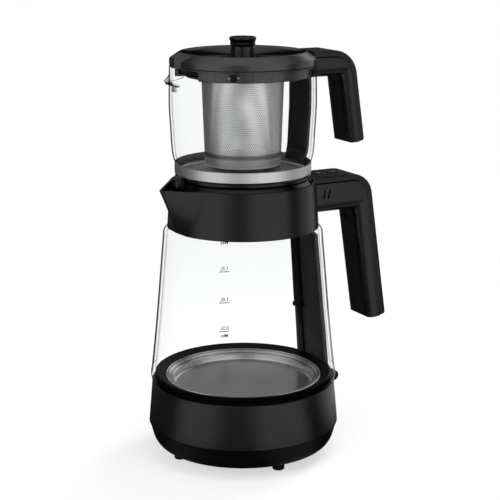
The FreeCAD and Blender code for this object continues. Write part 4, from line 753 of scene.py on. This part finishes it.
foot_line = [(BASKET_FOOT_R + LAP, SHEET_LOW)] + stepped(BASKET_FOOT_R, basket_low[2], FOOT_STEPS)
mouth_line = [(BASKET_MOUTH_R - LAP, SHEET_HIGH)] + stepped(BASKET_MOUTH_R, basket_high[2], MOUTH_STEPS)
foot = round_wall("basket_foot", foot_line, closed=True)
mouth = round_wall("basket_mouth", mouth_line + [(BASKET_LIP_R, basket_high[2])])
basket = join([sheet, foot, mouth])
bpy.ops.object.shade_smooth_by_angle(angle=math.radians(35))
print("basket:", len(basket.data.polygons), "faces", [round(v / MM, 1) for v in basket.dimensions])

# %% [markdown]
# ## The basket's steel
# The sheet is bright outside. Its inside is painted darker, as shade, and low on the wall a darker band is a
# painted dark reflection of the teapot's curved glass floor. Inside and outside differ by less than half a
# millimetre, so the mask compares the radius with that of the tapered wall at the same height.

# %% Perforated steel, and the basket on its body
# a painted dark band stands in for the reflection of the teapot's glass floor: its rise above the sheet's low end
# and half width
PAINTED_BAND_RISE = 8.0 * MM
PAINTED_BAND_HALF = 2.2 * MM
# the painted dark band is full within the first share of its half width, and gone past the second
PAINTED_BAND_EDGE = (0.3, 1.4)
ROLLED_SCALE = 40.0
ROLLED_GRAIN = 1500.0
WALL_FLARE = (BASKET_MOUTH_R - BASKET_FOOT_R) / (SHEET_HIGH - SHEET_LOW)
INSIDE_SOFT = 0.12 * MM


def perforated_steel():
    f = Finish("perforated_steel")
    wide = f.noise(ROLLED_SCALE, detail=2.0)
    fine = f.noise(ROLLED_GRAIN, detail=1.0)
    # how far a point lies from the middle of the painted dark band
    painted_band_distance = (f.z - SHEET_LOW - PAINTED_BAND_RISE).math("ABSOLUTE")
    plain = painted_band_distance.between(*(PAINTED_BAND_HALF * share for share in PAINTED_BAND_EDGE))
    wall = BASKET_FOOT_R - SHEET_T / 2 + (f.z - SHEET_LOW) * WALL_FLARE
    # the inside of the wall is painted darker, as shade, so the holes read dark
    inside = (wall - f.radius()).between(0.0, INSIDE_SOFT)
    bright = f.mix((0.90, 0.90, 0.905), (0.96, 0.96, 0.965), wide)
    bright = f.mix(bright, (0.50, 0.49, 0.48), inside)
    shine = 0.46 + (wide - 0.5) * 0.06 + fine * 0.04
    return f.show(
        f.principled(
            # the painted band's dark colour, then the sheet's own
            Base_Color=f.mix((0.30, 0.30, 0.305), bright, plain),
            Metallic=1.0,
            Roughness=shine.squeezed(),
        )
    )


wear_new(basket, "perforated_basket", perforated_steel(), "strainer")
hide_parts("strainer_basket")

# %% [markdown]
# ## The strainer's catches
# Two notches in the strainer's collar each take a black catch, and the pin of a catch shows a small steel head on
# both sides of its notch. A catch is a bevelled plate and a head a flattened ball. Each is made at the origin,
# looking along +X, and then turned into place.

# %% Catches with their pin heads
COLLAR_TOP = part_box("strainer_collar")[1][2]
NOTCH_AZIMUTHS = (126.0, 234.0)
NOTCH_R = 57.9 * MM
CATCH_T = 1.0 * MM
CATCH_W = 4.9 * MM
CATCH_SUNK = 0.9 * MM
CATCH_EDGE = 0.3 * MM
CATCH_LOW = COLLAR_TOP - 9.3 * MM
CATCH_HIGH = COLLAR_TOP - 1.4 * MM
PIN_HEAD_R = 1.05 * MM
PIN_HEAD_T = 1.0 * MM
PIN_SUNK = 0.05 * MM
PIN_ASIDE = 3.9 * MM
PIN_Z = COLLAR_TOP - 5.1 * MM


def place_at(piece, azimuth, radius, aside, height):
    """Put a piece that looks along +X on the round wall, turned to face outward."""
    turn = math.radians(azimuth)
    piece.rotation_euler = (0, 0, turn)
    piece.location = (
        radius * math.cos(turn) - aside * math.sin(turn),
        radius * math.sin(turn) + aside * math.cos(turn),
        height,
    )
    settle(piece)


def catch_plates():
    plates = []
    for azimuth in NOTCH_AZIMUTHS:
        bpy.ops.object.select_all(action="DESELECT")
        bpy.ops.mesh.primitive_cube_add(size=1.0)
        plate = start_piece("catch_plate")
        plate.scale = (CATCH_T, CATCH_W, CATCH_HIGH - CATCH_LOW)
        settle(plate)
        modify(plate, "BEVEL", width=CATCH_EDGE, segments=2)
        place_at(plate, azimuth, NOTCH_R - CATCH_SUNK, 0.0, (CATCH_LOW + CATCH_HIGH) / 2)
        plates.append(plate)
    return join(plates)


def pin_heads():
    heads = []
    for azimuth in NOTCH_AZIMUTHS:
        for side in (-1, 1):
            bpy.ops.object.select_all(action="DESELECT")
            bpy.ops.mesh.primitive_uv_sphere_add(segments=20, ring_count=10, radius=1.0)
            head = start_piece("pin_head")
            head.scale = (PIN_HEAD_T, PIN_HEAD_R, PIN_HEAD_R)
            settle(head)
            place_at(head, azimuth, NOTCH_R - PIN_SUNK, side * PIN_ASIDE, PIN_Z)
            heads.append(head)
    heads = join(heads)
    bpy.ops.object.shade_smooth()
    return heads


wear_new(catch_plates(), "strainer_catches", GLOSS, "strainer")
wear_new(pin_heads(), "catch_pins", SCREWS, "strainer")

# %% [markdown]
# ## Level marks
# The litre marks are printed on the outside of the glass at the back left, so from the front they are read through
# the kettle and stand mirrored. Each word is set as text, turned into a mesh, stood up against the glass and then
# shrink-wrapped to its outer side, so that it follows the curve.

# %% Text and line of each mark
MARK_GAP = 0.12 * MM
MARK_START_R = 82.0 * MM
LINE_W = 10.6 * MM
LINE_T = 0.75 * MM
LETTER = 5.2 * MM
STROKE_OVER = 0.05 * MM
# words, then lines: azimuth in degrees and height in millimetres
WORDS = (
    ("Min", 74.0, 77.4),
    ("0.5L", 74.0, 85.3),
    ("1.0L", 74.4, 114.7),
    ("1.5L", 74.8, 145.7),
    ("Max", 75.2, 171.3),
)
LINES = ((74.0, 83.6), (74.4, 113.0), (74.8, 144.0), (75.2, 177.5))


def on_glass(piece, azimuth, height):
    """Stand a flat mesh made at the origin against the glass at an azimuth, and wrap it to the glass."""
    turn = math.radians(azimuth)
    piece.rotation_euler = (math.pi / 2, 0, turn + math.pi / 2)
    piece.location = (MARK_START_R * math.cos(turn), MARK_START_R * math.sin(turn), height)
    settle(piece)
    modify(
        piece,
        "SHRINKWRAP",
        target=nodes["kettle_glass"],
        wrap_method="NEAREST_SURFACEPOINT",
        wrap_mode="OUTSIDE_SURFACE",
        offset=MARK_GAP,
    )


def set_word(words):
    bpy.ops.object.select_all(action="DESELECT")
    bpy.ops.object.text_add(location=(0, 0, 0))
    text = bpy.context.object
    text.data.body = words
    text.data.size = LETTER
    text.data.align_x = "CENTER"
    text.data.resolution_u = 3
    text.data.offset = STROKE_OVER
    bpy.ops.object.convert(target="MESH")
    return start_piece("word")


def rule_line():
    bpy.ops.object.select_all(action="DESELECT")
    bpy.ops.mesh.primitive_grid_add(x_subdivisions=12, y_subdivisions=1, size=1.0)
    line = start_piece("line")
    line.scale = (LINE_W, LINE_T, 1)
    settle(line)
    return line


def make_marks():
    pieces = []
    for words, azimuth, height in WORDS:
        pieces.append(set_word(words))
        on_glass(pieces[-1], azimuth, height * MM)
    for azimuth, height in LINES:
        pieces.append(rule_line())
        on_glass(pieces[-1], azimuth, height * MM)
    return join(pieces)


# %% Ink, and the marks on their body
def ink_finish():
    f = Finish("mark_ink")
    patch = f.noise(900.0, detail=1.0)
    shade = f.mix((0.006, 0.006, 0.0062), (0.012, 0.012, 0.0122), patch)
    return f.show(f.principled(Base_Color=shade, Roughness=0.45 + patch * 0.1, Specular_IOR_Level=0.2))


wear_new(make_marks(), "level_marks", ink_finish(), "kettle")

# %% [markdown]
# ## What glossy pieces see
# Black plastic shows little but reflections. Two bright panels in front, at the left and the right, a faint one in
# the gap between them and one at the far right give it soft bands of light, as a studio would. They exist only for
# glossy rays: the camera, also through glass, looks past them and sees plain white.

# %% Panels of the studio
# azimuth of a panel's middle, cosines of the angle from it where it starts and where it is full, its level
FLOOR_DARK = 0.05
FLOOR_PANELS = (
    (192.0, 0.80, 0.978, 0.80),
    (236.0, 0.906, 0.996, 0.22),
    (283.0, 0.77, 0.927, 0.82),
    (15.0, 0.64, 0.906, 0.50),
)
FRONT_PANELS = FLOOR_PANELS[:3]
SKY_DARK = 0.20
SKY_PANELS = ((10.0, 0.64, 0.906, 0.60), (140.0, 0.70, 0.95, 0.10))
# kept in a length, so that a direction straight up or the floor's own middle divides by no zero
LEAST_REACH = 0.001
FLOOR_REACH = 0.01
WHITE = (1.0, 1.0, 1.0)


def studio_level(x, y, reach, dark, panels):
    """How bright the studio looks in a direction (x, y), whose length is reach."""
    level = dark
    for azimuth, start, full, bright in panels:
        turn = math.radians(azimuth)
        towards = (x * math.cos(turn) + y * math.sin(turn)) / reach
        level = towards.between(start, full) * bright + level
    return level


print("panels:", len(FLOOR_PANELS), "in the floor,", len(SKY_PANELS), "in the sky")

# %% [markdown]
# ## Floor
# A pale painted floor keeps the object's soft shadow. Far from the object it turns plain white, and the camera
# sees it as white backdrop. Glossy rays see the panels in it instead, dimmer right under the object.

# %% Lay the floor
FLOOR_SIZE = 30.0
FLOOR_Z = -0.2 * MM
PAINT_SCALE = 3.0
UNDER_LEVEL = 0.15
UNDER_FADE = (0.12, 0.24)
NEAR_WHITE = 0.60
WHITE_FADE = (0.20, 0.80)


def straight_rays(tree):
    """Rays of the camera, and those that come on through glass."""
    return ray(tree, "Is Camera Ray").math("MAXIMUM", ray(tree, "Is Transmission Ray"))


def floor_finish():
    f = Finish("pale_floor")
    tone = f.noise(PAINT_SCALE, detail=2.0)
    shade = f.mix((0.86, 0.86, 0.86), (0.88, 0.88, 0.88), tone)
    paint = f.principled(Base_Color=shade, Roughness=0.9, Specular_IOR_Level=0.0)
    white = f.node("ShaderNodeEmission", Color=WHITE, Strength=1.0)
    level = studio_level(f.x, f.y, f.radius() + FLOOR_REACH, FLOOR_DARK, FLOOR_PANELS)
    level = level * (UNDER_LEVEL + f.radius().between(*UNDER_FADE) * (1.0 - UNDER_LEVEL))
    panels = f.node("ShaderNodeEmission", Color=WHITE, Strength=level)
    far = f.radius().between(*WHITE_FADE)
    backdrop = straight_rays(f.tree) * (NEAR_WHITE + far * (1.0 - NEAR_WHITE))
    seen = f.blend(backdrop, paint, white)
    return f.show(f.blend(ray(f.tree, "Is Glossy Ray"), seen, panels))


def lay_floor():
    bpy.ops.object.select_all(action="DESELECT")
    bpy.ops.mesh.primitive_plane_add(size=FLOOR_SIZE, location=(0, 0, FLOOR_Z))
    floor = bpy.context.object
    floor.name = "floor"
    floor.data.materials.append(floor_finish())
    return floor


print("floor:", lay_floor().name)

# %% [markdown]
# ## World
# The camera sees a white world. What lights the object is calmer, so a colour renders about as it was written.
# Glossy rays see the sky's panels, the front panels low down and a pale ceiling overhead.

# %% Light the world
AMBIENT = 0.55
OVERHEAD = 0.62
# heights, as sines, between which each part of the mirrored studio fades
SKY_FADE = (0.12, 0.30)
PANEL_FADE = (0.40, 0.62)
CEILING_FADE = (0.60, 0.90)


def light_world():
    world = bpy.data.worlds.new("studio")
    bpy.context.scene.world = world
    world.use_nodes = True
    tree = world.node_tree
    tree.nodes.clear()
    x, y, z = split(tree, add_node(tree, "ShaderNodeTexCoord", output="Generated"))
    reach = (x * x + y * y).math("SQRT") + LEAST_REACH
    sky = studio_level(x, y, reach, SKY_DARK, SKY_PANELS) * z.between(*SKY_FADE)
    front = studio_level(x, y, reach, 0.0, FRONT_PANELS)
    level = (sky + front) * (1.0 - z.between(*PANEL_FADE)) + z.between(*CEILING_FADE) * OVERHEAD
    seen = straight_rays(tree)
    mirrored = ray(tree, "Is Glossy Ray")
    plain = (1.0 - seen) * (1.0 - mirrored) * AMBIENT
    strength = seen + plain + mirrored * level
    background = add_node(tree, "ShaderNodeBackground", sockets={"Color": WHITE, "Strength": strength})
    end = tree.nodes.new("ShaderNodeOutputWorld")
    tree.links.new(background.socket, end.inputs["Surface"])
    return world


print("world:", light_world().name)

# %% [markdown]
# ## Lamps
# Three large, soft area lamps shape the object. They are hidden from glossy rays, because the panels stand in for
# them there, and two images of one lamp would look wrong.

# %% Hang the lamps
AIM = (0, 0, 0.2)
# name, place, width and height, power in watts
LAMPS = (
    ("left_panel", (-1.5, -0.7, 0.9), (0.6, 1.4), 16.0),
    ("right_panel", (1.35, 0.55, 0.95), (0.6, 1.4), 22.0),
    ("top_panel", (0.1, -0.4, 1.9), (1.0, 1.0), 14.0),
)


def hang_lamp(name, place, size, power):
    data = bpy.data.lights.new(name, "AREA")
    data.shape = "RECTANGLE"
    data.size, data.size_y = size
    data.energy = power
    lamp = bpy.data.objects.new(name, data)
    lamp.visible_glossy = False
    bpy.context.scene.collection.objects.link(lamp)
    lamp.location = place
    lamp.rotation_euler = (Vector(AIM) - Vector(place)).to_track_quat("-Z", "Y").to_euler()


for lamp in LAMPS:
    hang_lamp(*lamp)
bpy.context.scene.view_settings.view_transform = "Standard"
print("lamps:", len(LAMPS))

# %% [markdown]
# ## Sizes before and after
# The new pieces lie within the solids' own box.
